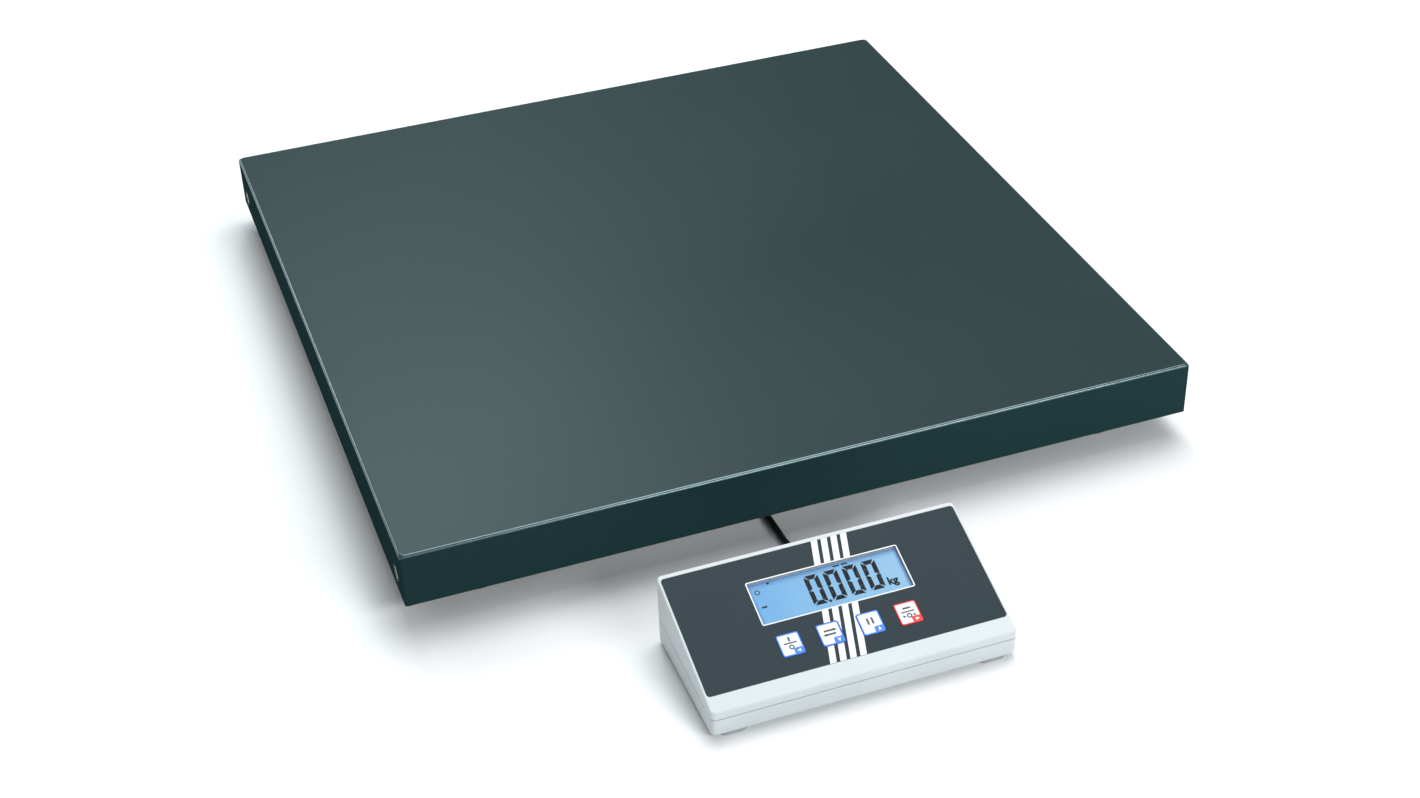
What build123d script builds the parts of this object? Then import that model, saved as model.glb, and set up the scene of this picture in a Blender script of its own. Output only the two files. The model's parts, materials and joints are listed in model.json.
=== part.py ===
from build123d import *
from math import atan2, cos, pi, radians, sin, tan
import os

# Floor scale with a remote display.  A folded steel cover rests on a welded frame that stands on four
# load cells with levelling feet; a wedge-shaped display unit lies in front of it on a signal cable.
# Millimetres, +Z up, the floor at Z = 0.  The origin is on the floor at the centre of the whole
# footprint, with the display on the -Y side.

os.makedirs("parts", exist_ok=True)

# ---------------------------------------------------------------- driving dimensions: platform
platform_side = 550.0
platform_height = 58.0
skirt_bottom = 18.5
sheet = 2.0
fold_radius = 2.0
corner_radius = 1.5
cover_screw_inset = 20.0          # screw axis to the cover's corner, along the side
cover_screw_height = 31.0
cover_screw_radius = 2.5          # M5
cover_screw_head_radius = 4.7
dimple_radius = 5.0

rail_x = 222.0                    # side rail centre line, which is also the feet's
rail_width = 44.0
rail_bottom = 26.0
rail_top = 54.0
rail_wall = 3.0
rail_length = 524.0
cross_rail_depth = 30.0
cross_rail_bottom = 38.0
cross_rail_wall = 2.0
cross_rail_corner = 2.5
cross_rail_offsets = (-120.0, 15.0, 150.0)

cell_width = 20.0
cell_bottom = 29.0
cell_top = 49.0
cell_inner_end = 158.0            # along Y, from the platform's centre
cell_outer_end = 248.0
cell_screw_offsets = (168.0, 184.0)
gauge_bore_offsets = (203.0, 217.0)
gauge_bore_radius = 6.5
gauge_slot_height = 4.0
gauge_seal_inset = 2.0
cell_chamfer = 0.8
cell_thread_depth = 14.0
spacer_outer_end = 193.0
foot_offset = 235.0

stem_radius = 3.95                # M8 stem, running in 4.0 mm holes
stem_bore_radius = 4.0
pad_radius = 19.0
pad_height = 11.0

# ---------------------------------------------------------------- driving dimensions: display unit
display_gap = 68.5
display_width = 198.0
display_depth = 95.5
display_x = -34.0
display_base = 3.0                # underside of the housing, on its feet
display_rear_height = 51.5
display_front_height = 20.0
seam_front_height = 14.5
seam_rear_height = 20.6
housing_wall = 2.5
housing_corner = 3.5
housing_edge = 1.2

# ---------------------------------------------------------------- driving dimensions: signal cable
cable_x = -26.0
cable_diameter = 5.0
coil_turn_pitch = 5.0
coil_inner_radius = 20.0          # cable centre line
coil_outer_radius = 40.0
coil_bottom = 1.0
coil_layers = 2

# ---------------------------------------------------------------- derived places
total_depth = platform_side + display_gap + display_depth
platform_y = total_depth / 2 - platform_side / 2
platform_front_y = platform_y - platform_side / 2
display_rear_y = platform_front_y - display_gap
display_front_y = display_rear_y - display_depth
half_side = platform_side / 2
cover_underside = platform_height - sheet
sides = ((-1, "left"), (1, "right"))
ends = ((-1, "front"), (1, "rear"))


def block(low, high, mode=Mode.ADD):
    """An upright box between two opposite corners."""
    centre = [(a + b) / 2 for a, b in zip(low, high)]
    size = [b - a for a, b in zip(low, high)]
    with Locations(tuple(centre)):
        Box(*size, mode=mode)


def rod(centre, direction, radius, length, mode=Mode.ADD):
    """A round bar or hole that starts at centre and runs along direction."""
    with Locations(Plane(origin=centre, z_dir=direction).location):
        Cylinder(radius, length, align=(Align.CENTER, Align.CENTER, Align.MIN), mode=mode)


def cone(centre, direction, first_radius, last_radius, length, mode=Mode.ADD):
    """A tapered bar or hole that starts at centre with first_radius and runs along direction."""
    with Locations(Plane(origin=centre, z_dir=direction).location):
        Cone(first_radius, last_radius, length, align=(Align.CENTER, Align.CENTER, Align.MIN), mode=mode)


def bend_radii(points):
    """For each inner point of a route: 0.45 of its shorter run over the tangent of half the turn."""
    radii = []
    for before, at, after in zip(points, points[1:], points[2:]):
        first = Vector(*at) - Vector(*before)
        second = Vector(*after) - Vector(*at)
        half_turn = radians(first.get_angle(second)) / 2
        radii.append(0.45 * min(first.length, second.length) / tan(half_turn))
    return radii


def cable(points, radius, radii):
    """A round cable of straight runs joined by tangent arcs."""
    with BuildLine() as route:
        FilletPolyline(*points, radius=radii)
    start = Vector(*points[1]) - Vector(*points[0])
    with BuildSketch(Plane(origin=points[0], z_dir=start)) as section:
        Circle(radius)
    sweep(section.sketch, path=route.wires()[0])
    return route.wires()[0].length


# ================================================================ platform: cover and frame
with BuildPart() as platform_cover:
    block((-half_side, platform_front_y, skirt_bottom),
          (half_side, platform_front_y + platform_side, platform_height))
    fillet(platform_cover.edges().filter_by(Axis.Z), corner_radius)
    fillet(platform_cover.faces().sort_by(Axis.Z)[-1].edges(), fold_radius)
    with BuildSketch(Plane.XY.offset(skirt_bottom)):
        with Locations((0, platform_y)):
            Rectangle(platform_side - 2 * sheet, platform_side - 2 * sheet)
    extrude(amount=cover_underside - skirt_bottom, mode=Mode.SUBTRACT)
    for side, _ in sides:
        for end, _ in ends:
            screw_y = platform_y + end * (half_side - cover_screw_inset)
            rod((side * (half_side + 1), screw_y, cover_screw_height), (-side, 0, 0),
                cover_screw_radius + 0.2, sheet + 2, mode=Mode.SUBTRACT)
            cone((side * half_side, screw_y, cover_screw_height), (-side, 0, 0), dimple_radius,
                 cover_screw_radius + 0.5, sheet, mode=Mode.SUBTRACT)
platform_cover.part.label = "platform_cover"
export_step(platform_cover.part, "parts/platform_cover.step")

bracket_thickness = 4.0
bracket_half_width = 8.0
bracket_web_bottom = 38.0
bracket_top = 41.0
bracket_bottom = 24.0
with BuildPart() as cover_brackets:
    for side, _ in sides:
        for end, _ in ends:
            screw_y = platform_y + end * (half_side - cover_screw_inset)
            skirt_x = side * (half_side - sheet)
            web_x = sorted((skirt_x, side * (rail_x + rail_width / 2)))
            plate_x = sorted((skirt_x, skirt_x - side * bracket_thickness))
            block((web_x[0], screw_y - bracket_half_width, bracket_web_bottom),
                  (web_x[1], screw_y + bracket_half_width, bracket_top))
            block((plate_x[0], screw_y - bracket_half_width, bracket_bottom),
                  (plate_x[1], screw_y + bracket_half_width, bracket_top))
            rod((skirt_x + side, screw_y, cover_screw_height), (-side, 0, 0), cover_screw_radius,
                bracket_thickness + 2, mode=Mode.SUBTRACT)
cover_brackets.part.label = "cover_brackets"
export_step(cover_brackets.part, "parts/cover_brackets.step")

head_height = 1.8
head_inset = 0.2
shank_length = 10.0
recess_size = (5.0, 1.0, 1.4)
with BuildPart() as cover_screws:
    for side, _ in sides:
        for end, _ in ends:
            screw_y = platform_y + end * (half_side - cover_screw_inset)
            head = (side * (half_side - head_inset), screw_y, cover_screw_height)
            cone(head, (-side, 0, 0), cover_screw_head_radius, cover_screw_radius, head_height)
            rod((head[0] - side * head_height, screw_y, cover_screw_height), (-side, 0, 0),
                cover_screw_radius, shank_length)
            with Locations(Plane(origin=head, z_dir=(side, 0, 0)).location):
                Box(recess_size[0], recess_size[1], recess_size[2], mode=Mode.SUBTRACT)
                Box(recess_size[1], recess_size[0], recess_size[2], mode=Mode.SUBTRACT)
cover_screws.part.label = "cover_screws"
export_step(cover_screws.part, "parts/cover_screws.step")

box_front_y = platform_y + cross_rail_offsets[0] + cross_rail_depth / 2
lead_y = box_front_y + 5.0
lead_radius = 1.75
lead_hole_radius = 2.5
rail_top_corner = 3.0
cell_screw_radius = 3.0           # M6, countersunk
cell_screw_head_radius = 6.0
front_lead_z = 40.0
rear_lead_z = 46.0

for side, side_name in sides:
    with BuildPart() as side_rail:
        block((side * rail_x - rail_width / 2, platform_y - rail_length / 2, rail_bottom),
              (side * rail_x + rail_width / 2, platform_y + rail_length / 2, rail_top))
        fillet(side_rail.faces().sort_by(Axis.Z)[-1].edges().filter_by(Axis.Y), rail_top_corner)
        block((side * rail_x - rail_width / 2 + rail_wall, platform_y - rail_length / 2 - 1, rail_bottom - 1),
              (side * rail_x + rail_width / 2 - rail_wall, platform_y + rail_length / 2 + 1,
               rail_top - rail_wall), mode=Mode.SUBTRACT)
        for end, _ in ends:
            for offset in cell_screw_offsets:
                cone((side * rail_x, platform_y + end * offset, rail_top), (0, 0, -1),
                     cell_screw_head_radius, cell_screw_radius, rail_wall, mode=Mode.SUBTRACT)
        inner_x = side * (rail_x - rail_width / 2 - 1)
        for lead_z in (front_lead_z, rear_lead_z):
            rod((inner_x, lead_y, lead_z), (side, 0, 0), lead_hole_radius, rail_wall + 2, mode=Mode.SUBTRACT)
    name = side_name + "_side_rail"
    side_rail.part.label = name
    export_step(side_rail.part, f"parts/{name}.step")

rail_gap = rail_x - rail_width / 2
for offset, name in zip(cross_rail_offsets, ("front_cross_rail", "middle_cross_rail", "rear_cross_rail")):
    rail_y = platform_y + offset
    with BuildPart() as cross_rail:
        block((-rail_gap, rail_y - cross_rail_depth / 2, cross_rail_bottom),
              (rail_gap, rail_y + cross_rail_depth / 2, rail_top))
        fillet(cross_rail.edges().filter_by(Axis.X), cross_rail_corner)
        block((-rail_gap - 1, rail_y - cross_rail_depth / 2 + cross_rail_wall,
               cross_rail_bottom + cross_rail_wall),
              (rail_gap + 1, rail_y + cross_rail_depth / 2 - cross_rail_wall, rail_top - cross_rail_wall),
              mode=Mode.SUBTRACT)
    cross_rail.part.label = name
    export_step(cross_rail.part, f"parts/{name}.step")

buffer_radius = 10.0
buffer_pitch = 150.0
cross_buffer_pitch = 100.0
with BuildPart() as cover_buffers:
    buffer_places = [(side * rail_x, platform_y + buffer_pitch * along)
                     for side, _ in sides for along in (-1.5, -0.5, 0.5, 1.5)]
    buffer_places += [(cross_buffer_pitch * across, platform_y + offset)
                      for across in (-1, 0, 1) for offset in cross_rail_offsets]
    with BuildSketch(Plane.XY.offset(rail_top)):
        with Locations(*buffer_places):
            Circle(buffer_radius)
    extrude(amount=cover_underside - rail_top)
cover_buffers.part.label = "cover_buffers"
export_step(cover_buffers.part, "parts/cover_buffers.step")

# ================================================================ load cells and levelling feet
cell_middle = (cell_bottom + cell_top) / 2


def gauge_window(x, y, end, inset):
    """The two joined cross bores that leave a cell with thin bending walls, drawn across the cell."""
    half = cell_width / 2 - inset
    with BuildSketch(Plane.YZ.offset(x - half)) as window:
        for offset in gauge_bore_offsets:
            with Locations((y + end * offset, cell_middle)):
                Circle(gauge_bore_radius)
        with Locations((y + end * sum(gauge_bore_offsets) / 2, cell_middle)):
            Rectangle(gauge_bore_offsets[1] - gauge_bore_offsets[0], gauge_slot_height)
    return window.sketch, 2 * half


for side, side_name in sides:
    for end, end_name in ends:
        cell_y = sorted((platform_y + end * cell_inner_end, platform_y + end * cell_outer_end))
        with BuildPart() as load_cell:
            block((side * rail_x - cell_width / 2, cell_y[0], cell_bottom),
                  (side * rail_x + cell_width / 2, cell_y[1], cell_top))
            chamfer(load_cell.edges().filter_by(Axis.Y), cell_chamfer)
            window, width = gauge_window(side * rail_x, platform_y, end, 0)
            extrude(window, amount=width, mode=Mode.SUBTRACT)
            rod((side * rail_x, platform_y + end * foot_offset, cell_bottom - 1), (0, 0, 1),
                stem_bore_radius, cell_top - cell_bottom + 2, mode=Mode.SUBTRACT)
            for offset in cell_screw_offsets:
                rod((side * rail_x, platform_y + end * offset, cell_top - cell_thread_depth), (0, 0, 1),
                    cell_screw_radius, cell_thread_depth + 1, mode=Mode.SUBTRACT)
        name = f"load_cell_{end_name}_{side_name}"
        load_cell.part.label = name
        export_step(load_cell.part, f"parts/{name}.step")

with BuildPart() as gauge_seals:
    for side, _ in sides:
        for end, _ in ends:
            window, width = gauge_window(side * rail_x, platform_y, end, gauge_seal_inset)
            extrude(window, amount=width)
gauge_seals.part.label = "gauge_seals"
export_step(gauge_seals.part, "parts/gauge_seals.step")

spacer_top = rail_top - rail_wall
with BuildPart() as cell_spacers:
    for side, _ in sides:
        for end, _ in ends:
            spacer_y = sorted((platform_y + end * (cell_inner_end + 1), platform_y + end * spacer_outer_end))
            block((side * rail_x - cell_width / 2, spacer_y[0], cell_top),
                  (side * rail_x + cell_width / 2, spacer_y[1], spacer_top))
            for offset in cell_screw_offsets:
                rod((side * rail_x, platform_y + end * offset, cell_top - 1), (0, 0, 1), cell_screw_radius,
                    spacer_top - cell_top + 2, mode=Mode.SUBTRACT)
cell_spacers.part.label = "cell_spacers"
export_step(cell_spacers.part, "parts/cell_spacers.step")

cell_shank_length = spacer_top - cell_top + 12.5
socket_radius = 2.0
socket_depth = 2.2
with BuildPart() as cell_screws:
    for side, _ in sides:
        for end, _ in ends:
            for offset in cell_screw_offsets:
                place = (side * rail_x, platform_y + end * offset, rail_top)
                cone(place, (0, 0, -1), cell_screw_head_radius, cell_screw_radius, rail_wall)
                rod((place[0], place[1], spacer_top), (0, 0, -1), cell_screw_radius, cell_shank_length)
                with BuildSketch(Plane(origin=place)) as socket:
                    RegularPolygon(socket_radius, 6)
                extrude(socket.sketch, amount=-socket_depth, mode=Mode.SUBTRACT)
cell_screws.part.label = "cell_screws"
export_step(cell_screws.part, "parts/cell_screws.step")

nut_height = 4.0
half_wrench_size = 6.5            # 13 mm across flats, on the nuts and the stems
with BuildPart() as foot_lock_nuts:
    for side, _ in sides:
        for end, _ in ends:
            place = (side * rail_x, platform_y + end * foot_offset, cell_bottom)
            with BuildSketch(Plane(origin=place)) as nut:
                RegularPolygon(half_wrench_size, 6, major_radius=False)
                Circle(stem_bore_radius, mode=Mode.SUBTRACT)
            extrude(nut.sketch, amount=-nut_height)
foot_lock_nuts.part.label = "foot_lock_nuts"
export_step(foot_lock_nuts.part, "parts/foot_lock_nuts.step")

stem_bottom = 4.0
hex_top = pad_height + 5.0
stem_top = 46.0
stem_chamfer = 0.8
pad_rim_height = 6.0
pad_top_radius = 10.0
pad_edge = 1.5
for side, side_name in sides:
    for end, end_name in ends:
        place_x = side * rail_x
        place_y = platform_y + end * foot_offset
        with BuildPart() as foot_stem:
            rod((place_x, place_y, stem_bottom), (0, 0, 1), stem_radius, stem_top - stem_bottom)
            chamfer(foot_stem.edges().filter_by(GeomType.CIRCLE).sort_by(Axis.Z)[-1], stem_chamfer)
            with BuildSketch(Plane.XY.offset(pad_height)) as wrench_hex:
                with Locations((place_x, place_y)):
                    RegularPolygon(half_wrench_size, 6, major_radius=False)
            extrude(wrench_hex.sketch, amount=hex_top - pad_height)
        name = f"foot_stem_{end_name}_{side_name}"
        foot_stem.part.label = name
        export_step(foot_stem.part, f"parts/{name}.step")

        with BuildPart() as foot_pad:
            rod((place_x, place_y, 0), (0, 0, 1), pad_radius, pad_rim_height)
            cone((place_x, place_y, pad_rim_height), (0, 0, 1), pad_radius, pad_top_radius,
                 pad_height - pad_rim_height)
            fillet(foot_pad.edges().filter_by(GeomType.CIRCLE).sort_by(Axis.Z)[0], pad_edge)
            rod((place_x, place_y, stem_bottom), (0, 0, 1), stem_bore_radius, pad_height,
                mode=Mode.SUBTRACT)
        name = f"foot_pad_{end_name}_{side_name}"
        foot_pad.part.label = name
        export_step(foot_pad.part, f"parts/{name}.step")

# ================================================================ junction box under the platform
box_x = cable_x
box_width = 100.0
box_depth = 60.0
box_bottom = 21.5
box_top = 51.0
box_wall = 2.0
lid_thickness = 2.0
box_left_x = box_x - box_width / 2
box_right_x = box_x + box_width / 2
box_rear_y = box_front_y + box_depth
box_y = (box_front_y + box_rear_y) / 2
box_corner = 1.5
lid_screw_radius = 1.5
lid_boss_radius = 4.0
lid_screw_depth = 12.0
mount_screw_radius = 2.0
lid_screw_places = [(box_x + side * 44.5, y) for side, _ in sides
                    for y in (box_front_y + 14, box_rear_y - 5.5)]
mount_screw_places = [(box_x + side * 30, box_y + end * 18) for side, _ in sides for end, _ in ends]
grommet_radius = 2.8
grommet_neck_radius = 2.2
gland_z = 29.5
gland_thread_radius = 5.0
gland_length = 22.0

bracket_sheet = 2.0
with BuildPart() as junction_bracket:
    block((box_x - 40, box_front_y, box_top), (box_x + 40, box_rear_y, box_top + bracket_sheet))
    for x, y in mount_screw_places:
        rod((x, y, box_top - 1), (0, 0, 1), mount_screw_radius, bracket_sheet + 2, mode=Mode.SUBTRACT)
junction_bracket.part.label = "junction_bracket"
export_step(junction_bracket.part, "parts/junction_bracket.step")

with BuildPart() as junction_box:
    block((box_left_x, box_front_y, box_bottom), (box_right_x, box_rear_y, box_top))
    fillet(junction_box.edges().filter_by(Axis.Z), box_corner)
    block((box_left_x + box_wall, box_front_y + box_wall, box_bottom - 1),
          (box_right_x - box_wall, box_rear_y - box_wall, box_top - box_wall), mode=Mode.SUBTRACT)
    for x, y in lid_screw_places:
        rod((x, y, box_bottom), (0, 0, 1), lid_boss_radius, box_top - box_bottom - 1)
        rod((x, y, box_bottom - 1), (0, 0, 1), lid_screw_radius, lid_screw_depth + 1, mode=Mode.SUBTRACT)
    for x, y in mount_screw_places:
        rod((x, y, box_top + 1), (0, 0, -1), mount_screw_radius, box_wall + 2, mode=Mode.SUBTRACT)
    for wall_x, side in ((box_left_x, 1), (box_right_x, -1)):
        for lead_z in (front_lead_z, rear_lead_z):
            rod((wall_x - side, lead_y, lead_z), (side, 0, 0), grommet_neck_radius, box_wall + 2,
                mode=Mode.SUBTRACT)
    rod((box_x, box_front_y - 1, gland_z), (0, 1, 0), gland_thread_radius, box_wall + 2, mode=Mode.SUBTRACT)
junction_box.part.label = "junction_box"
export_step(junction_box.part, "parts/junction_box.step")

lid_gap = 0.1
lid_rib_height = 0.4
with BuildPart() as junction_lid:
    block((box_left_x, box_front_y, box_bottom - lid_thickness), (box_right_x, box_rear_y, box_bottom))
    fillet(junction_lid.edges().filter_by(Axis.Z), box_corner)
    block((box_left_x + box_wall + lid_gap, box_front_y + 10.2, box_bottom),
          (box_right_x - box_wall - lid_gap, box_rear_y - box_wall - lid_gap, box_bottom + lid_rib_height))
    for x, y in lid_screw_places:
        rod((x, y, box_bottom), (0, 0, 1), lid_boss_radius + 0.2, lid_rib_height + 1, mode=Mode.SUBTRACT)
        rod((x, y, box_bottom - lid_thickness - 1), (0, 0, 1), lid_screw_radius, lid_thickness + 3,
            mode=Mode.SUBTRACT)
junction_lid.part.label = "junction_lid"
export_step(junction_lid.part, "parts/junction_lid.step")

lid_head = (2.7, 1.4)                      # radius and height
mount_head = (3.8, 2.0)
with BuildPart() as junction_screws:
    for x, y in lid_screw_places:
        lid_face = box_bottom - lid_thickness
        rod((x, y, lid_face), (0, 0, -1), *lid_head)
        rod((x, y, lid_face), (0, 0, 1), lid_screw_radius, lid_screw_depth)
        rod((x, y, lid_face - 2), (0, 0, 1), 0.9, 1.4, mode=Mode.SUBTRACT)
    for x, y in mount_screw_places:
        bracket_face = box_top + bracket_sheet
        rod((x, y, bracket_face), (0, 0, 1), *mount_head)
        rod((x, y, bracket_face), (0, 0, -1), mount_screw_radius, bracket_sheet + box_wall)
        rod((x, y, bracket_face + 1), (0, 0, 1), 1.2, 2, mode=Mode.SUBTRACT)
junction_screws.part.label = "junction_screws"
export_step(junction_screws.part, "parts/junction_screws.step")

board_z = 30.0
board_sheet = 1.6
board_low = (box_x - 36, box_front_y + 12)
board_high = (box_x + 36, box_rear_y - 8)
post_places = [(x, y) for x in (board_low[0] + 4, board_high[0] - 4)
               for y in (board_low[1] + 4, board_high[1] - 4)]
with BuildPart() as summing_board:
    block((*board_low, board_z), (*board_high, board_z + board_sheet))
    for x, y in post_places:
        rod((x, y, board_z - 1), (0, 0, 1), 1.5, 4, mode=Mode.SUBTRACT)
    for x in (box_x - 20, box_x, box_x + 20):
        block((x - 3, box_y - 8, board_z + board_sheet), (x + 3, box_y - 2, board_z + board_sheet + 1.4))
    for x, y in post_places:
        rod((x, y, board_z + board_sheet), (0, 0, 1), 2.5, box_top - box_wall - board_z - board_sheet)
        rod((x, y, board_z + board_sheet - 0.1), (0, 0, 1), 1.0, 6, mode=Mode.SUBTRACT)
summing_board.part.label = "summing_board"
export_step(summing_board.part, "parts/summing_board.step")

terminal_height = 8.0
cell_terminal_y = box_rear_y - 19          # one three-way block for each cell
output_terminal_y = box_front_y + 19.5     # and a four-way block for the signal cable
with BuildPart() as terminal_blocks:
    for x in (box_x - 24, box_x - 8, box_x + 8, box_x + 24):
        block((x - 7, cell_terminal_y - 5, board_z - terminal_height), (x + 7, cell_terminal_y + 5, board_z))
        for pin in (-4.5, 0, 4.5):
            rod((x + pin, cell_terminal_y, board_z - terminal_height - 1), (0, 0, 1), 1.2, 3,
                mode=Mode.SUBTRACT)
    block((box_x - 9, output_terminal_y - 3.5, board_z - terminal_height),
          (box_x + 9, output_terminal_y + 3.5, board_z))
    for pin in (-6, -2, 2, 6):
        rod((box_x + pin, output_terminal_y, board_z - terminal_height - 1), (0, 0, 1), 1.2, 3,
            mode=Mode.SUBTRACT)
terminal_blocks.part.label = "terminal_blocks"
export_step(terminal_blocks.part, "parts/terminal_blocks.step")

gland_front_y = box_front_y - gland_length
gland_body_radius = 7.0
gland_tip_radius = 4.6
gland_tip_length = 4.0
gland_flange_length = 5.0
with BuildPart() as cable_gland:
    rod((box_x, box_front_y + box_wall + 3, gland_z), (0, -1, 0), gland_thread_radius, box_wall + 3)
    with BuildSketch(Plane(origin=(box_x, box_front_y, gland_z), z_dir=(0, -1, 0))) as gland_hex:
        RegularPolygon(7.5, 6, major_radius=False, rotation=30)
    extrude(gland_hex.sketch, amount=gland_flange_length)
    rod((box_x, box_front_y - gland_flange_length, gland_z), (0, -1, 0), gland_body_radius,
        gland_length - gland_flange_length - gland_tip_length)
    cone((box_x, gland_front_y + gland_tip_length, gland_z), (0, -1, 0), gland_body_radius, gland_tip_radius,
         gland_tip_length)
    with BuildSketch(Plane(origin=(box_x, box_front_y + box_wall, gland_z), z_dir=(0, 1, 0))) as gland_nut:
        RegularPolygon(half_wrench_size, 6, major_radius=False, rotation=30)
        Circle(gland_thread_radius, mode=Mode.SUBTRACT)
    extrude(gland_nut.sketch, amount=2.5)
cable_gland.part.label = "cable_gland"
export_step(cable_gland.part, "parts/cable_gland.step")

lead_bend = 14.0
with BuildPart() as cell_leads:
    for wall_x, side in ((box_left_x + box_wall, -1), (box_right_x - box_wall, 1)):
        for end, lead_z in ((-1, front_lead_z), (1, rear_lead_z)):
            lead_route = [(side * rail_x, platform_y + end * cell_inner_end, lead_z),
                          (side * rail_x, lead_y, lead_z),
                          (wall_x, lead_y, lead_z)]
            cable(lead_route, lead_radius, [lead_bend])
cell_leads.part.label = "cell_leads"
export_step(cell_leads.part, "parts/cell_leads.step")

with BuildPart() as lead_grommets:
    for wall_x, side in ((box_left_x, -1), (box_right_x, 1)):
        for lead_z in (front_lead_z, rear_lead_z):
            rod((wall_x, lead_y, lead_z), (side, 0, 0), grommet_radius, 1.5)
            rod((wall_x, lead_y, lead_z), (-side, 0, 0), grommet_neck_radius, box_wall)
            rod((wall_x + side * 2, lead_y, lead_z), (-side, 0, 0), lead_radius, box_wall + 4,
                mode=Mode.SUBTRACT)
lead_grommets.part.label = "lead_grommets"
export_step(lead_grommets.part, "parts/lead_grommets.step")

clip_width = 8.0
with BuildPart() as lead_clips:
    for clip_x in (-165.0, -105.0, 65.0, 120.0, 175.0):
        block((clip_x - clip_width / 2, box_front_y, front_lead_z - 2),
              (clip_x + clip_width / 2, lead_y + 3, rear_lead_z + 2.5))
        for lead_z in (front_lead_z, rear_lead_z):
            rod((clip_x - clip_width / 2 - 1, lead_y, lead_z), (1, 0, 0), lead_radius, clip_width + 2,
                mode=Mode.SUBTRACT)
lead_clips.part.label = "lead_clips"
export_step(lead_clips.part, "parts/lead_clips.step")

# ================================================================ display unit: housing
slope = atan2(display_rear_height - display_front_height, display_depth)
display_left_x = display_x - display_width / 2
display_right_x = display_x + display_width / 2
# Face plane: its origin is in the middle, a little in front of the top rear edge, +X to the right,
# +Y up the slope.
face_inset = 1.5
face = Plane(origin=(display_x, display_rear_y - face_inset,
                     display_rear_height - face_inset * sin(slope) / cos(slope)),
             x_dir=(1, 0, 0), z_dir=(0, -sin(slope), cos(slope)))

recess_depth = 2.0
panel_depth = 1.6                 # the overlay fills the recess above the switch sheet
top_wall = 4.0                    # depth of the housing's inner face below its outer face
panel_width = 194.4
panel_length = 85.4
panel_centre = (0.2, -44.3)       # across, up the slope, on the face plane
panel_corner = 2.2
window_size = (100.0, 31.5)
window_centre = (1.5, -34.8)
window_corner = 1.2
lens_flange = 1.5                 # the lens is this much wider under the overlay
opening_inset = 0.5               # the housing's window opening is this much smaller all round
lcd_depth = 2.6
lcd_thickness = 2.8
key_size = (14.6, 15.6)
key_corner = 1.5
key_gap = 0.25
key_row = -67.4
key_columns = {"key_on_off": -37.1, "key_units": -11.4, "key_hold": 14.9, "key_tare": 39.6}
key_bottom = 1.15                 # depths below the face
key_height = 1.5
dome_height = 0.4
dome_radius = 5.0

boss_radius = 3.3
boss_inset = 5.7
boss_places = [(display_x + i * (display_width / 2 - boss_inset), y)
               for i in (-1, 1) for y in (display_front_y + boss_inset, display_rear_y - boss_inset)]
board_post_places = [(i * 66.0, y) for i in (-1, 1) for y in (-12.5, -53.5)]   # on the face plane
board_depth = 9.2                 # top of the main board below the face
board_thickness = 1.6
post_radius = 2.6
housing_screw_radius = 1.5
board_screw_radius = 0.95
screw_sink = 2.2                  # depth of the screw seats in the underside

battery_radius = 7.25
battery_count = 6
battery_pitch = 14.7
compartment_wall = 1.3
compartment_right_x = cable_x - 7.0
compartment_left_x = compartment_right_x - battery_count * battery_pitch - 2 * compartment_wall
compartment_front_y = display_rear_y - housing_wall - 58.0
battery_bottom = 5.4
compartment_roof = battery_bottom + 2 * battery_radius + 0.3
floor_top = display_base + housing_wall

door_left_x = compartment_left_x + compartment_wall + 0.4
door_right_x = compartment_right_x - compartment_wall - 0.4
door_front_y = compartment_front_y + 0.4
door_thickness = 2.0
tongue = 0.9
door_lip = 2.2
door_lip_height = 6.0

jack_x = 34.0
jack_z = 13.0
jack_radius = 4.2
jack_bore_radius = 2.8
jack_bore_depth = 9.5
jack_pin_radius = 0.95
relief_z = 14.0
relief_length = 20.0
relief_neck_radius = 4.0


def side_profile(points, low_x, high_x, mode=Mode.ADD):
    """A prism along X whose side view is the closed outline of (y, z) points."""
    with BuildSketch(Plane.YZ.offset(low_x)) as profile:
        with BuildLine():
            Polyline(*points, close=True)
        make_face()
    extrude(profile.sketch, amount=high_x - low_x, mode=mode)


def slope_height(y, depth):
    """Height of the plane that lies depth below the sloped face, above the line at y."""
    along = (y - display_front_y) / display_depth
    return (display_front_height + along * (display_rear_height - display_front_height)
            - depth / cos(slope))


def seam_height(y):
    """Height of the slanted parting plane between the two housings, at y."""
    along = (y - display_front_y) / display_depth
    return seam_front_height + along * (seam_rear_height - seam_front_height)


def above_seam(front_y, rear_y, low_x, high_x):
    """Removes what stands above the parting plane between two places along Y."""
    high = display_rear_height + 1
    side_profile([(front_y, seam_height(front_y)), (front_y, high), (rear_y, high),
                  (rear_y, seam_height(rear_y))], low_x, high_x, Mode.SUBTRACT)


def facing_up(builder):
    """The face of a part that looks most nearly straight up."""
    return builder.faces().sort_by(lambda surface: surface.normal_at().Z)[-1]


def grown(size, margin):
    """A width and length that are larger by margin on every side."""
    return size[0] + 2 * margin, size[1] + 2 * margin


def face_pocket(size, centre, corner, top, bottom, mode=Mode.SUBTRACT):
    """A rounded pocket or plate on the sloped face, between two depths below it."""
    with BuildSketch(face.offset(-bottom)) as outline:
        with Locations(centre):
            RectangleRounded(*size, corner)
    extrude(outline.sketch, amount=bottom - top, mode=mode)


inner_front_y = display_front_y + housing_wall
inner_rear_y = display_rear_y - housing_wall

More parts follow.
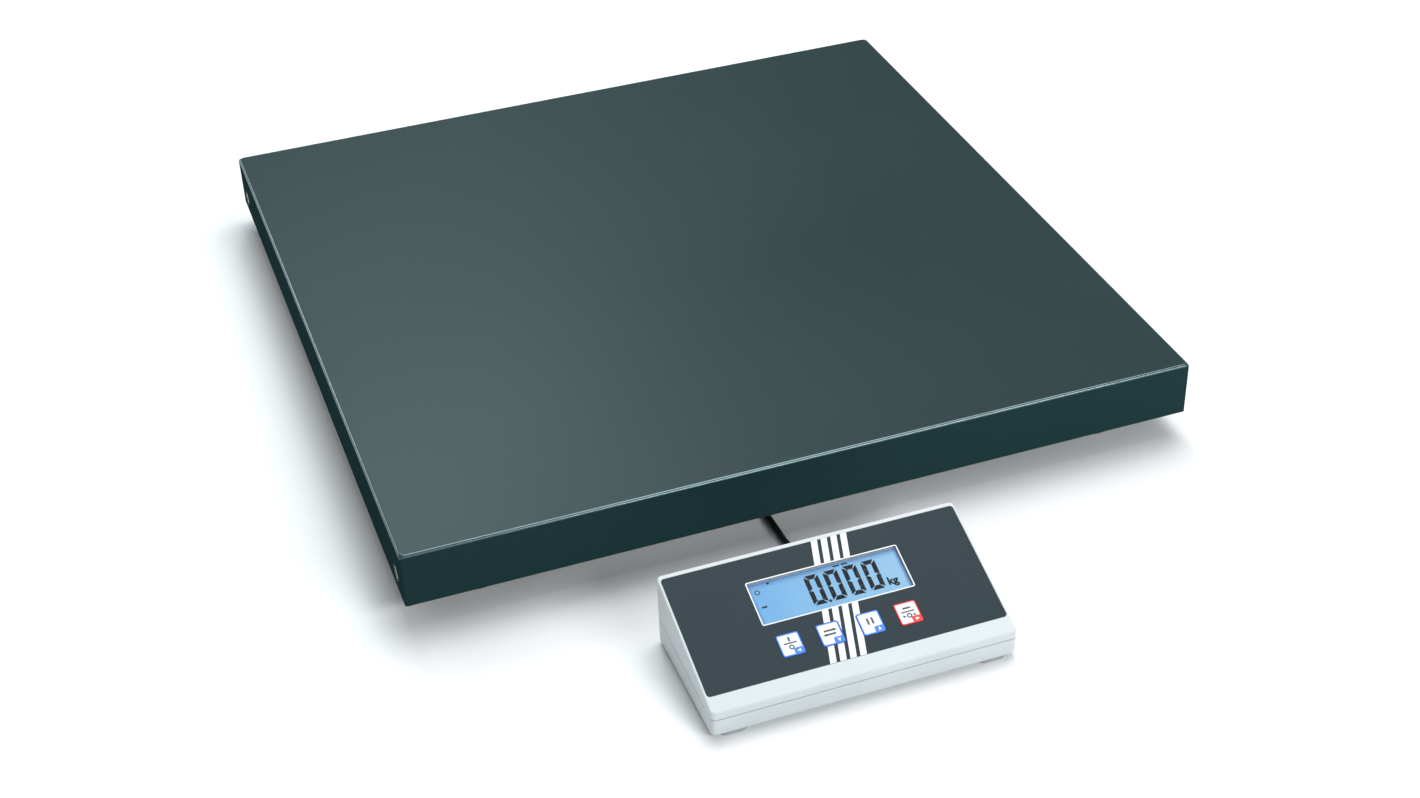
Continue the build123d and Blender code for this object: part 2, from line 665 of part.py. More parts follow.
with BuildPart() as upper_housing:
    side_profile([(display_front_y, seam_height(display_front_y)), (display_front_y, display_front_height),
                  (display_rear_y, display_rear_height), (display_rear_y, seam_height(display_rear_y))],
                 display_left_x, display_right_x)
    fillet(upper_housing.edges().filter_by(Axis.Z), housing_corner)
    fillet(facing_up(upper_housing).edges(), housing_edge)
    side_profile([(inner_front_y, seam_height(inner_front_y) - 1),
                  (inner_front_y, slope_height(inner_front_y, top_wall)),
                  (inner_rear_y, slope_height(inner_rear_y, top_wall)),
                  (inner_rear_y, seam_height(inner_rear_y) - 1)],
                 display_left_x + housing_wall, display_right_x - housing_wall, Mode.SUBTRACT)
    for x, y in boss_places:
        top = slope_height(y, top_wall - 0.5)
        with BuildSketch(Plane.XY.offset(seam_height(y) - 3)) as boss:
            with Locations((x, y)):
                Circle(boss_radius)
        extrude(boss.sketch, amount=top - seam_height(y) + 3)
    for x, y in board_post_places:
        with BuildSketch(face.offset(-board_depth)) as post:
            with Locations((x, y)):
                Circle(post_radius)
        extrude(post.sketch, amount=board_depth - top_wall + 0.3)
    side_profile([(display_front_y - 1, 0), (display_front_y - 1, seam_height(display_front_y - 1)),
                  (display_rear_y + 1, seam_height(display_rear_y + 1)), (display_rear_y + 1, 0)],
                 display_left_x - 1, display_right_x + 1, Mode.SUBTRACT)
    for x, y in boss_places:
        rod((x, y, seam_height(y) - 2), (0, 0, 1), housing_screw_radius, 4.2, mode=Mode.SUBTRACT)
    for x, y in board_post_places:
        with BuildSketch(face.offset(-board_depth)) as post_hole:
            with Locations((x, y)):
                Circle(1.0)
        extrude(post_hole.sketch, amount=4, mode=Mode.SUBTRACT)
    face_pocket((panel_width, panel_length), panel_centre, panel_corner + 0.1, -5, recess_depth)
    face_pocket(grown(window_size, -opening_inset), window_centre, 1.0, 0, top_wall + 1)
upper_housing.part.label = "upper_housing"
export_step(upper_housing.part, "parts/upper_housing.step")

with BuildPart() as lower_housing:
    side_profile([(display_front_y, display_base), (display_front_y, seam_height(display_front_y)),
                  (display_rear_y, seam_height(display_rear_y)), (display_rear_y, display_base)],
                 display_left_x, display_right_x)
    fillet(lower_housing.edges().filter_by(Axis.Z), housing_corner)
    fillet(lower_housing.faces().sort_by(Axis.Z)[0].edges(), housing_edge)
    side_profile([(inner_front_y, floor_top), (inner_front_y, seam_height(inner_front_y) + 1),
                  (inner_rear_y, seam_height(inner_rear_y) + 1), (inner_rear_y, floor_top)],
                 display_left_x + housing_wall, display_right_x - housing_wall, Mode.SUBTRACT)
    for x, y in boss_places:
        rod((x, y, floor_top - 1), (0, 0, 1), boss_radius, seam_height(y) - floor_top + 2)
    block((compartment_left_x, compartment_front_y - compartment_wall, floor_top - 1),
          (compartment_right_x, inner_rear_y - 0.3, compartment_roof + 1.2))
    above_seam(display_front_y - 1, compartment_front_y - 5, display_left_x - 1, display_right_x + 1)
    for x, y in boss_places[1::2]:
        above_seam(y - 6, y + 6, x - boss_radius - 0.15, x + boss_radius + 0.15)
    block((compartment_left_x + compartment_wall, compartment_front_y, display_base - 1),
          (compartment_right_x - compartment_wall, inner_rear_y + 0.01, compartment_roof), mode=Mode.SUBTRACT)
    block((compartment_left_x + compartment_wall, inner_rear_y - 1, display_base - 1),
          (compartment_right_x - compartment_wall, display_rear_y + 1, display_base + door_lip_height + 0.3),
          mode=Mode.SUBTRACT)
    block((compartment_left_x + compartment_wall - tongue, compartment_front_y, display_base + 0.4),
          (compartment_right_x - compartment_wall + tongue, display_rear_y + 1, display_base + 1.8),
          mode=Mode.SUBTRACT)
    for x, y in boss_places:
        rod((x, y, display_base - 1), (0, 0, 1), 2.9, screw_sink + 1, mode=Mode.SUBTRACT)
        rod((x, y, display_base), (0, 0, 1), housing_screw_radius, 20, mode=Mode.SUBTRACT)
    rod((jack_x, display_rear_y + 1, jack_z), (0, -1, 0), jack_radius, housing_wall + 2,
        mode=Mode.SUBTRACT)
    rod((cable_x, display_rear_y + 1, relief_z), (0, -1, 0), relief_neck_radius, housing_wall + 2,
        mode=Mode.SUBTRACT)
lower_housing.part.label = "lower_housing"
export_step(lower_housing.part, "parts/lower_housing.step")

# ================================================================ display unit: panel, keys, electronics
with BuildPart() as overlay:
    face_pocket(grown((panel_width, panel_length), -0.1), panel_centre, panel_corner, 0, panel_depth,
                Mode.ADD)
    face_pocket(window_size, window_centre, window_corner, -1, panel_depth + 1)
    for column in key_columns.values():
        face_pocket(grown(key_size, key_gap), (column, key_row), key_corner + key_gap, -1, panel_depth + 1)
overlay.part.label = "overlay"
export_step(overlay.part, "parts/overlay.step")

with BuildPart() as window_lens:
    face_pocket(grown(window_size, -0.05), window_centre, window_corner, 0.1, panel_depth, Mode.ADD)
    face_pocket(grown(window_size, lens_flange), window_centre, window_corner, panel_depth, recess_depth,
                Mode.ADD)
window_lens.part.label = "window_lens"
export_step(window_lens.part, "parts/window_lens.step")

with BuildPart() as switch_sheet:
    face_pocket(grown((panel_width, panel_length), -0.5), panel_centre, panel_corner, panel_depth,
                recess_depth, Mode.ADD)
    face_pocket(grown(window_size, lens_flange + 0.1), window_centre, window_corner, 0, recess_depth + 1)
switch_sheet.part.label = "switch_sheet"
export_step(switch_sheet.part, "parts/switch_sheet.step")

with BuildPart() as key_domes:
    for column in key_columns.values():
        with BuildSketch(face.offset(-panel_depth)) as dome:
            with Locations((column, key_row)):
                Circle(dome_radius)
        extrude(dome.sketch, amount=dome_height, taper=60)
key_domes.part.label = "key_domes"
export_step(key_domes.part, "parts/key_domes.step")

for name, column in key_columns.items():
    with BuildPart() as key:
        face_pocket(key_size, (column, key_row), key_corner, key_bottom - key_height, key_bottom, Mode.ADD)
        fillet(facing_up(key).edges(), 0.3)
        with BuildSketch(face.offset(-key_bottom)) as pocket:
            with Locations((column, key_row)):
                Circle(dome_radius + 0.4)
        extrude(pocket.sketch, amount=dome_height - 0.03, mode=Mode.SUBTRACT)
    key.part.label = name
    export_step(key.part, f"parts/{name}.step")

lcd_bottom = lcd_depth + lcd_thickness
with BuildPart() as lcd_glass:
    face_pocket(grown(window_size, -opening_inset - 0.2), window_centre, 0.8, lcd_depth, lcd_bottom, Mode.ADD)
lcd_glass.part.label = "lcd_glass"
export_step(lcd_glass.part, "parts/lcd_glass.step")

with BuildPart() as lcd_backlight:
    face_pocket(grown(window_size, 3), window_centre, 1.0, lcd_bottom, board_depth, Mode.ADD)
lcd_backlight.part.label = "lcd_backlight"
export_step(lcd_backlight.part, "parts/lcd_backlight.step")

board_bottom = board_depth + board_thickness
with BuildPart() as main_board:
    face_pocket((150, 49), (0, -33), 2.0, board_depth, board_bottom, Mode.ADD)
    for place in board_post_places:
        face_pocket((2.0, 2.0), place, 0.99, board_depth - 1, board_bottom + 1)
main_board.part.label = "main_board"
export_step(main_board.part, "parts/main_board.step")

chips = {                                  # across, up the slope, width, length, height
    "microcontroller": (40, -38, 10, 10, 1.4),
    "converter": (60, -30, 10, 6, 1.8),
    "cable_socket": (14, -30, 12, 6, 6.0),
    "supply_socket": (60, -18, 9, 6, 6.0),
    "regulator": (44, -22, 7, 6, 2.4),
}
with BuildPart() as board_parts:
    for across, up, width, length, height in chips.values():
        face_pocket((width, length), (across, up), 0.3, board_bottom, board_bottom + height, Mode.ADD)
    with BuildSketch(face.offset(-board_bottom)) as round_parts:
        with Locations((28, -20)):
            Circle(4.0)
        with Locations((26, -44)):
            Circle(5.0)
    extrude(round_parts.sketch, amount=-5.0)
board_parts.part.label = "board_parts"
export_step(board_parts.part, "parts/board_parts.step")

# ================================================================ display unit: batteries and small parts
grip_grooves = 5
grip_pitch = 3.0
grip_width = 20.0
grip_x = (door_left_x + door_right_x) / 2
with BuildPart() as battery_door:
    block((door_left_x, door_front_y, display_base),
          (door_right_x, display_rear_y, display_base + door_thickness))
    block((door_left_x - tongue, door_front_y + 2, display_base + 0.7),
          (door_right_x + tongue, display_rear_y - 3, display_base + 1.5))
    block((door_left_x, display_rear_y - door_lip, display_base),
          (door_right_x, display_rear_y, display_base + door_lip_height))
    for step in range(grip_grooves):
        groove_y = display_rear_y - 8 - grip_pitch * step
        block((grip_x - grip_width / 2, groove_y - 0.6, display_base - 1),
              (grip_x + grip_width / 2, groove_y + 0.6, display_base + 0.5), mode=Mode.SUBTRACT)
battery_door.part.label = "battery_door"
export_step(battery_door.part, "parts/battery_door.step")

contact_thickness = 0.5
spring_length = 6.0
cell_can_length = 49.5
with BuildPart() as batteries:
    for index in range(battery_count):
        x = compartment_left_x + compartment_wall + (index + 0.5) * battery_pitch
        z = battery_bottom + battery_radius
        if index % 2:
            start_y, step = compartment_front_y + 58.0 - contact_thickness - spring_length, -1
        else:
            start_y, step = compartment_front_y + contact_thickness + spring_length, 1
        rod((x, start_y, z), (0, step, 0), battery_radius - 0.05, cell_can_length)
        rod((x, start_y + step * cell_can_length, z), (0, step, 0), 2.7, 1.5)
batteries.part.label = "batteries"
export_step(batteries.part, "parts/batteries.step")

with BuildPart() as battery_contacts:
    for index in range(battery_count):
        x = compartment_left_x + compartment_wall + (index + 0.5) * battery_pitch
        z = battery_bottom + battery_radius
        front, rear = compartment_front_y, compartment_front_y + 58.0
        block((x - 5, front, z - 5), (x + 5, front + contact_thickness, z + 5))
        block((x - 5, rear - contact_thickness, z - 3), (x + 5, rear, z + 5))
        spring_y, step = (rear - contact_thickness, -1) if index % 2 else (front + contact_thickness, 1)
        cone((x, spring_y, z), (0, step, 0), 4.2, 2.6, spring_length)
        cone((x, spring_y, z), (0, step, 0), 3.4, 1.8, spring_length, mode=Mode.SUBTRACT)
battery_contacts.part.label = "battery_contacts"
export_step(battery_contacts.part, "parts/battery_contacts.step")

with BuildPart() as housing_screws:
    for x, y in boss_places:
        rod((x, y, display_base + screw_sink), (0, 0, -1), 2.75, 1.6)
        rod((x, y, display_base + screw_sink), (0, 0, 1), housing_screw_radius,
            seam_height(y) + 1.8 - display_base - screw_sink)
        rod((x, y, display_base), (0, 0, 1), 0.9, 1.6, mode=Mode.SUBTRACT)
    for x, y in board_post_places:
        with BuildSketch(face.offset(-board_bottom)) as head:
            with Locations((x, y)):
                Circle(2.0)
        extrude(head.sketch, amount=-1.3)
        with BuildSketch(face.offset(-board_bottom)) as shank:
            with Locations((x, y)):
                Circle(board_screw_radius)
        extrude(shank.sketch, amount=4.5)
housing_screws.part.label = "housing_screws"
export_step(housing_screws.part, "parts/housing_screws.step")

foot_size = (18.0, 9.0)
narrow_foot_size = (6.4, 18.0)             # beside the battery door
with BuildPart() as housing_feet:
    with BuildSketch():
        with Locations((display_left_x + 15, display_front_y + 5.8),
                       (display_right_x - 15, display_front_y + 5.8),
                       (display_right_x - 20, display_rear_y - 7)):
            RectangleRounded(*foot_size, 4.4)
        with Locations((display_left_x + 5.2, display_rear_y - 28)):
            RectangleRounded(*narrow_foot_size, 3.1)
    extrude(amount=display_base)
housing_feet.part.label = "housing_feet"
export_step(housing_feet.part, "parts/housing_feet.step")

relief_end_y = display_rear_y + relief_length
with BuildPart() as strain_relief:
    rod((cable_x, inner_rear_y, relief_z), (0, -1, 0), 5.6, 2.0)
    rod((cable_x, inner_rear_y, relief_z), (0, 1, 0), relief_neck_radius, housing_wall)
    rod((cable_x, display_rear_y, relief_z), (0, 1, 0), 5.2, 1.5)
    cone((cable_x, display_rear_y + 1.5, relief_z), (0, 1, 0), 4.6, 3.3, relief_length - 1.5)
    for step in range(5):
        groove_y = display_rear_y + 4.5 + 3.0 * step
        with BuildSketch(Plane(origin=(cable_x, groove_y, relief_z), z_dir=(0, 1, 0))) as groove:
            Circle(6.0)
            Circle(3.15, mode=Mode.SUBTRACT)
        extrude(groove.sketch, amount=1.2, mode=Mode.SUBTRACT)
strain_relief.part.label = "strain_relief"
export_step(strain_relief.part, "parts/strain_relief.step")

with BuildPart() as dc_jack:
    block((jack_x - 4.5, inner_rear_y - 11, jack_z - 5.5), (jack_x + 4.5, inner_rear_y, jack_z + 5.5))
    rod((jack_x, inner_rear_y, jack_z), (0, 1, 0), jack_radius, housing_wall)
    rod((jack_x, display_rear_y + 1, jack_z), (0, -1, 0), jack_bore_radius, jack_bore_depth + 1,
        mode=Mode.SUBTRACT)
    rod((jack_x, display_rear_y - jack_bore_depth - 0.1, jack_z), (0, 1, 0), jack_pin_radius,
        jack_bore_depth - 0.9)
dc_jack.part.label = "dc_jack"
export_step(dc_jack.part, "parts/dc_jack.step")

# ================================================================ signal cable
cable_radius = cable_diameter / 2
coil_x = cable_x - coil_outer_radius
coil_y = -120.0
coil_top = coil_bottom + coil_layers * cable_diameter

# Down from the gland to the floor and into the coil's outer turn.
lead_in_route = [(cable_x, gland_front_y, gland_z), (-26.0, -57.0, 28.3), (-26.2, -69.5, 21.6),
                 (-26.5, -81.5, 11.8), (-26.4, -94.5, 5.0), (-26.0, -108.5, 3.5)]
# Off the coil's upper layer, over the floor under the skirt, and up to the display's rear wall.
lead_out_route = [(-26.0, -130.0, 8.5), (-26.2, -143.0, 7.0), (-26.6, -156.0, 3.7), (-26.5, -171.0, 2.5),
                  (-26.0, -187.0, 2.5), (-26.1, -203.0, 3.0), (-26.3, -217.0, 7.2), (-26.2, -230.0, 12.6),
                  (cable_x, relief_end_y, relief_z)]

for name, route in (("cable_lead_in", lead_in_route), ("cable_lead_out", lead_out_route)):
    radii = bend_radii(route)
    with BuildPart() as cable_run:
        length = cable(route, cable_radius, radii)
    print(name, "length", round(length, 1), "radii", [round(radius, 1) for radius in radii],
          "volume ratio", round(cable_run.part.volume / (length * pi * cable_radius ** 2), 4))
    cable_run.part.label = name
    export_step(cable_run.part, f"parts/{name}.step")

with BuildPart() as cable_coil:
    with BuildSketch(Plane.XZ.offset(-coil_y)) as ring:
        with Locations((coil_x + (coil_inner_radius + coil_outer_radius) / 2, (coil_bottom + coil_top) / 2)):
            RectangleRounded(coil_outer_radius - coil_inner_radius + cable_diameter, coil_top - coil_bottom,
                             cable_radius - 0.1)
    revolve(ring.sketch, Axis((coil_x, coil_y, 0), (0, 0, 1)))
cable_coil.part.label = "cable_coil"
export_step(cable_coil.part, "parts/cable_coil.step")

tie_width = 8.0
tie_thickness = 1.0
tie_gap = 0.5
with BuildPart() as cable_tie:
    for angle in (150, 240):
        with Locations(Location((coil_x, coil_y, (coil_bottom + coil_top) / 2), (0, 0, angle))):
            with Locations(((coil_inner_radius + coil_outer_radius) / 2, 0, 0)):
                width = coil_outer_radius - coil_inner_radius + cable_diameter + 2 * tie_gap
                Box(width + 2 * tie_thickness, tie_width, coil_top - coil_bottom + 2 * tie_thickness)
                Box(width, tie_width + 2, coil_top - coil_bottom, mode=Mode.SUBTRACT)
cable_tie.part.label = "cable_tie"
export_step(cable_tie.part, "parts/cable_tie.step")

# Each layer's turns stop one half turn short of the inner radius, and one more turn climbs between them.
layer_turns = (coil_outer_radius - coil_inner_radius - cable_radius) / coil_turn_pitch
layer_mean_radius = (coil_outer_radius + coil_inner_radius + cable_radius) / 2
coiled_length = 2 * pi * (coil_layers * layer_turns * layer_mean_radius + coil_inner_radius)
print("coil turns", coil_layers * layer_turns + 1, "coiled length", round(coiled_length, 1))
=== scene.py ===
import json
from math import cos, pi, radians, sin, tan

import bmesh
import bpy
from mathutils import Matrix, Vector


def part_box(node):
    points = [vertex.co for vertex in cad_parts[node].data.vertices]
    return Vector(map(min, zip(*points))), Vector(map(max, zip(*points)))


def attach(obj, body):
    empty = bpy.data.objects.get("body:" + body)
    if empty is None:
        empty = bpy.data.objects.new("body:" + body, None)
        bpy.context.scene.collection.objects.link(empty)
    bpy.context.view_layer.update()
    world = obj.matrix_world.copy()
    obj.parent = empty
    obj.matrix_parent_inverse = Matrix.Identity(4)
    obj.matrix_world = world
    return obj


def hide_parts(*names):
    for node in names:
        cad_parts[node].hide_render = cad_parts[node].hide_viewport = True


# A floor scale with a remote display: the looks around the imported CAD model.  Metres, +Z up, the floor
# at Z = 0, the display on the -Y side.
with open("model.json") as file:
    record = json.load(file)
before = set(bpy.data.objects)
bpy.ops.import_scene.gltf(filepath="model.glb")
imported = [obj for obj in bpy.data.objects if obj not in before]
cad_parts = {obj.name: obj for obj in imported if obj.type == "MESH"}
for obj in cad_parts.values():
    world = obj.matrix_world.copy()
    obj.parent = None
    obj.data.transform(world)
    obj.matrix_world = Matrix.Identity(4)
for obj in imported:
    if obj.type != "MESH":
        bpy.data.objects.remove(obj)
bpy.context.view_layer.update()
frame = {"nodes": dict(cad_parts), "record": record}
nodes = frame["nodes"]
mm = 0.001
corners = ("front_left", "front_right", "rear_left", "rear_right")

# ---- sizes that the frame doesn't give
sheet = 2.0 * mm                  # steel of the cover
fold_radius = 2.0 * mm
cover_corner = 1.5 * mm
stem_radius = 3.9 * mm
thread_pitch = 1.25 * mm

display_rear_height = 51.5 * mm
display_front_height = 20.0 * mm
seam_rear_height = 20.6 * mm
seam_front_height = 14.5 * mm
face_inset = 1.5 * mm             # from the top rear edge to the origin of the face plane
housing_corner = 3.5 * mm
housing_edge = 1.2 * mm
housing_wall = 2.5 * mm
top_wall = 4.0 * mm
recess_depth = 2.0 * mm
panel_corner = 2.2 * mm
window_corner = 1.2 * mm
lens_flange = 1.5 * mm            # the lens is this much wider under the panel
opening_inset = 0.5 * mm          # the shell's window opening is this much smaller all round

cable_diameter = 5.0 * mm
coil_centre = Vector((-66.0, -120.0, 0.0)) * mm
coil_inner_radius = 22.5 * mm
coil_outer_radius = 40.0 * mm
layer_heights = (3.5 * mm, 8.5 * mm)


# ==== camera
def set_camera():
    """The camera stands in front of the scale, left of its middle, and looks down on it."""
    azimuth, elevation, roll = radians(-19.07), radians(34.95), radians(-1.98)
    back = Vector((sin(azimuth) * cos(elevation), -cos(azimuth) * cos(elevation), sin(elevation)))
    right = Vector((cos(azimuth), sin(azimuth), 0.0))
    up = back.cross(right)
    turned_right = cos(roll) * right + sin(roll) * up
    turned_up = cos(roll) * up - sin(roll) * right
    lens = bpy.data.cameras.new("camera")
    lens.sensor_width = 36.0
    lens.lens = 55.57
    camera = bpy.data.objects.new("camera", lens)
    camera.matrix_world = Matrix((turned_right, turned_up, back)).transposed().to_4x4()
    camera.location = Vector((-433.9, -1244.9, 899.5)) * mm
    bpy.context.scene.collection.objects.link(camera)
    bpy.context.scene.camera = camera


set_camera()


# ==== materials
def new_shader(name, **settings):
    """A new material, its node tree and its Principled shader with some of its sockets set."""
    material = bpy.data.materials.new(name)
    material.use_nodes = True
    shader = material.node_tree.nodes["Principled BSDF"]
    for socket, value in settings.items():
        shader.inputs[socket.replace("_", " ")].default_value = value
    return material, material.node_tree, shader


def linear(red, green, blue):
    """A screen colour, 0 to 255, as the linear colour that shaders take."""
    shares = [value / 255 for value in (red, green, blue)]
    return tuple(s / 12.92 if s <= 0.04045 else ((s + 0.055) / 1.055) ** 2.4 for s in shares) + (1.0,)


def texture(tree, kind, size, detail=3.0, stretch=(1, 1, 1)):
    """A noise or cell texture whose features are about size metres large, in the object's own space."""
    place = tree.nodes.new("ShaderNodeTexCoord")
    scale = tree.nodes.new("ShaderNodeMapping")
    scale.inputs["Scale"].default_value = stretch
    made = tree.nodes.new(kind)
    made.inputs["Scale"].default_value = 1 / size
    if "Detail" in made.inputs:
        made.inputs["Detail"].default_value = detail
    tree.links.new(place.outputs["Object"], scale.inputs["Vector"])
    tree.links.new(scale.outputs["Vector"], made.inputs["Vector"])
    return made.outputs[0]


def span(tree, value, low, high, start=0.3, stop=0.7):
    """Maps a texture's value from start..stop to low..high."""
    mapped = tree.nodes.new("ShaderNodeMapRange")
    for socket, number in {"From Min": start, "From Max": stop, "To Min": low, "To Max": high}.items():
        mapped.inputs[socket].default_value = number
    tree.links.new(value, mapped.inputs["Value"])
    return mapped.outputs["Result"]


def mixed(tree, share, first, second):
    """A colour between two others; each is a socket or a plain colour."""
    mix = tree.nodes.new("ShaderNodeMix")
    mix.data_type = "RGBA"
    tree.links.new(share, mix.inputs["Factor"])
    for colour, socket in ((first, mix.inputs[6]), (second, mix.inputs[7])):
        if isinstance(colour, tuple):
            socket.default_value = colour
        else:
            tree.links.new(colour, socket)
    return mix.outputs[2]


def bump(tree, value, depth, under=None):
    """Surface relief of a depth in metres, over any relief under it."""
    relief = tree.nodes.new("ShaderNodeBump")
    relief.inputs["Distance"].default_value = depth
    tree.links.new(value, relief.inputs["Height"])
    if under is not None:
        tree.links.new(under, relief.inputs["Normal"])
    return relief.outputs["Normal"]


cells = "ShaderNodeTexVoronoi"


def finish(name, dark, light, roughness, grain, depth, patch=0.04, metallic=0.0, kind="ShaderNodeTexNoise",
           stretch=(1, 1, 1), **settings):
    """A material whose colour and roughness drift over patches and whose surface has a fine grain."""
    material, tree, shader = new_shader(name, Metallic=metallic, **settings)
    drift = texture(tree, "ShaderNodeTexNoise", patch, 4.0, stretch)
    fine = texture(tree, kind, grain, 2.0, stretch)
    tree.links.new(mixed(tree, span(tree, drift, 0, 1), dark, light), shader.inputs["Base Color"])
    tree.links.new(span(tree, drift, *roughness), shader.inputs["Roughness"])
    tree.links.new(bump(tree, fine, depth), shader.inputs["Normal"])
    return material


def cover_paint_material(name, dark, light, roughness, shine, **settings):
    """Powder coat: orange-peel relief, a slow change of tone and faint rub marks."""
    grain, depth = 1.1 * mm, 0.012 * mm
    material = finish(name, dark, light, roughness, grain, depth, 0.22, Specular_IOR_Level=shine, **settings)
    tree = material.node_tree
    peel = bump(tree, texture(tree, "ShaderNodeTexNoise", grain, 2.0), depth)
    rubs = texture(tree, "ShaderNodeTexNoise", 9 * mm, 5.0, (1, 0.12, 1))
    worn = bump(tree, span(tree, rubs, 0, 1, 0.62, 0.75), 0.004 * mm, peel)
    tree.links.new(worn, tree.nodes["Principled BSDF"].inputs["Normal"])
    return material


def lcd_material():
    """Backlit display: blue, paler to the right, with painted shade darkening its glow along its top edge and
    its sides.
    """
    material, tree, shader = new_shader("lcd", Base_Color=linear(70, 110, 150), Specular_IOR_Level=0.15,
                                        Emission_Strength=0.82)
    place = tree.nodes.new("ShaderNodeTexCoord")
    split = tree.nodes.new("ShaderNodeSeparateXYZ")
    tree.links.new(place.outputs["Object"], split.inputs["Vector"])
    low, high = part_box("lcd_glass")
    across = span(tree, split.outputs["X"], 0, 1, low.x, high.x)
    cloud = texture(tree, "ShaderNodeTexNoise", 25 * mm)
    glow = mixed(tree, across, linear(102, 172, 223), linear(152, 202, 225))
    tone = mixed(tree, span(tree, cloud, 0, 0.15), glow, linear(170, 212, 232))
    # painted shade: the glow is mixed toward a darker blue near the top edge and the left and right sides
    for socket, edge, inner in (("Y", high.y, high.y - 5 * mm), ("X", low.x, low.x + 3.5 * mm),
                                ("X", high.x, high.x - 2.5 * mm)):
        tone = mixed(tree, span(tree, split.outputs[socket], 0, 1, edge, inner), linear(72, 116, 176), tone)
    tree.links.new(tone, shader.inputs["Emission Color"])
    tree.links.new(span(tree, cloud, 0.22, 0.3), shader.inputs["Roughness"])
    return material


def board_material():
    """Green solder mask over copper traces that run along and across the board."""
    material, tree, shader = new_shader("circuit_board")
    bricks = texture(tree, "ShaderNodeTexBrick", 9 * mm)
    traces = tree.nodes[-1]
    for socket, value in (("Scale", 160.0), ("Mortar Size", 0.06), ("Color1", linear(14, 74, 42)),
                          ("Color2", linear(20, 86, 48)), ("Mortar", linear(40, 120, 62))):
        traces.inputs[socket].default_value = value
    tree.links.new(bricks, shader.inputs["Base Color"])
    fine = texture(tree, "ShaderNodeTexNoise", 2 * mm)
    tree.links.new(span(tree, fine, 0.25, 0.4), shader.inputs["Roughness"])
    tree.links.new(bump(tree, traces.outputs["Fac"], 0.03 * mm), shader.inputs["Normal"])
    return material


def ink(name, colour, roughness=0.4, **settings):
    """Screen-printed ink: an even colour with a little speckle."""
    darker = tuple(0.93 * value for value in colour[:3]) + (1.0,)
    return finish(name, darker, colour, (roughness - 0.04, roughness + 0.04), 0.3 * mm, 0.002 * mm,
                  patch=2 * mm, **settings)


plain_finishes = (
    # name, dark and light colour, roughness, grain and its depth in mm, other settings
    ("frame_steel", (26, 29, 31), (40, 43, 45), (0.45, 0.6), 0.9, 0.02, {"patch": 0.05}),
    ("bright_steel", (150, 152, 152), (196, 198, 196), (0.24, 0.36), 0.5, 0.004,
     {"patch": 0.004, "metallic": 1.0}),
    ("cell_aluminium", (188, 190, 192), (212, 213, 214), (0.28, 0.4), 0.4, 0.006,
     {"patch": 0.01, "metallic": 1.0, "stretch": (1, 0.06, 1)}),
    ("white_silicone", (214, 214, 206), (228, 228, 222), (0.55, 0.7), 2.5, 0.15,
     {"patch": 0.006, "Subsurface_Weight": 0.1}),
    ("black_rubber", (20, 20, 22), (34, 34, 36), (0.7, 0.85), 0.5, 0.03, {"patch": 0.012}),
    ("grey_rubber", (150, 156, 156), (172, 177, 177), (0.65, 0.8), 0.5, 0.03, {"patch": 0.01}),
    ("grey_plastic", (122, 126, 128), (136, 140, 142), (0.45, 0.58), 0.35, 0.02,
     {"patch": 0.03, "kind": cells}),
    ("green_plastic", (30, 120, 66), (38, 134, 76), (0.35, 0.45), 0.4, 0.01, {"patch": 0.01}),
    ("black_plastic", (22, 22, 24), (34, 34, 36), (0.4, 0.55), 0.35, 0.02, {"patch": 0.01, "kind": cells}),
    ("cable_jacket", (16, 16, 18), (27, 27, 29), (0.38, 0.5), 0.6, 0.02, {"patch": 0.015}),
    ("housing_plastic", (206, 211, 212), (212, 217, 218), (0.42, 0.52), 0.3, 0.012,
     {"patch": 0.05, "kind": cells, "Subsurface_Weight": 0.05}),
    ("overlay_film", (37, 52, 58), (40, 55, 61), (0.44, 0.52), 0.25, 0.006,
     {"patch": 0.05, "Specular_IOR_Level": 0.15}),
    ("switch_film", (196, 196, 184), (208, 208, 198), (0.25, 0.35), 1.5, 0.01, {"patch": 0.02}),
    ("key_film", (232, 236, 238), (240, 243, 245), (0.36, 0.44), 0.25, 0.005, {"patch": 0.006}),
    ("clear_window", (30, 36, 40), (34, 40, 44), (0.1, 0.16), 8, 0.004, {"patch": 0.03, "Alpha": 0.08}),
    ("lcd_frame", (222, 226, 228), (234, 237, 238), (0.4, 0.5), 0.5, 0.01, {"patch": 0.02}),
    ("battery_can", (34, 36, 40), (50, 52, 56), (0.25, 0.35), 0.3, 0.004, {"patch": 0.01}),
)
materials = {name: finish(name, linear(*dark), linear(*light), roughness, grain * mm, depth * mm, **more)
             for name, dark, light, roughness, grain, depth, more in plain_finishes}
materials["lcd"] = lcd_material()
materials["circuit_board"] = board_material()
# Lit and shaded copies of the one powder coat, tuned to how light falls on each face: the top in a darker
# tone for its sheen, the skirts in a paler tone with no reflection at all (painted shade), and the fold very
# glossy with a cyan reflection tint (a painted highlight line).
paint_colours = linear(22, 46, 47), linear(25, 50, 51)
materials["cover_paint"] = cover_paint_material("cover_paint", *paint_colours, (0.36, 0.42), 0.2)
skirt_shaded_paint = cover_paint_material("skirt_shaded_paint", linear(31, 54, 56), linear(34, 58, 60), (0.5, 0.6), 0.0)
fold_highlight_paint = cover_paint_material("fold_highlight_paint", *paint_colours, (0.22, 0.27), 1.0,
                                  IOR=1.7, Specular_Tint=(0.72, 0.96, 1.0, 1.0))
strap_cloth = finish("strap_cloth", linear(20, 20, 22), linear(44, 44, 46), (0.85, 0.95), 0.35 * mm,
                     0.15 * mm, patch=1.2 * mm, kind=cells, Sheen_Weight=0.4)
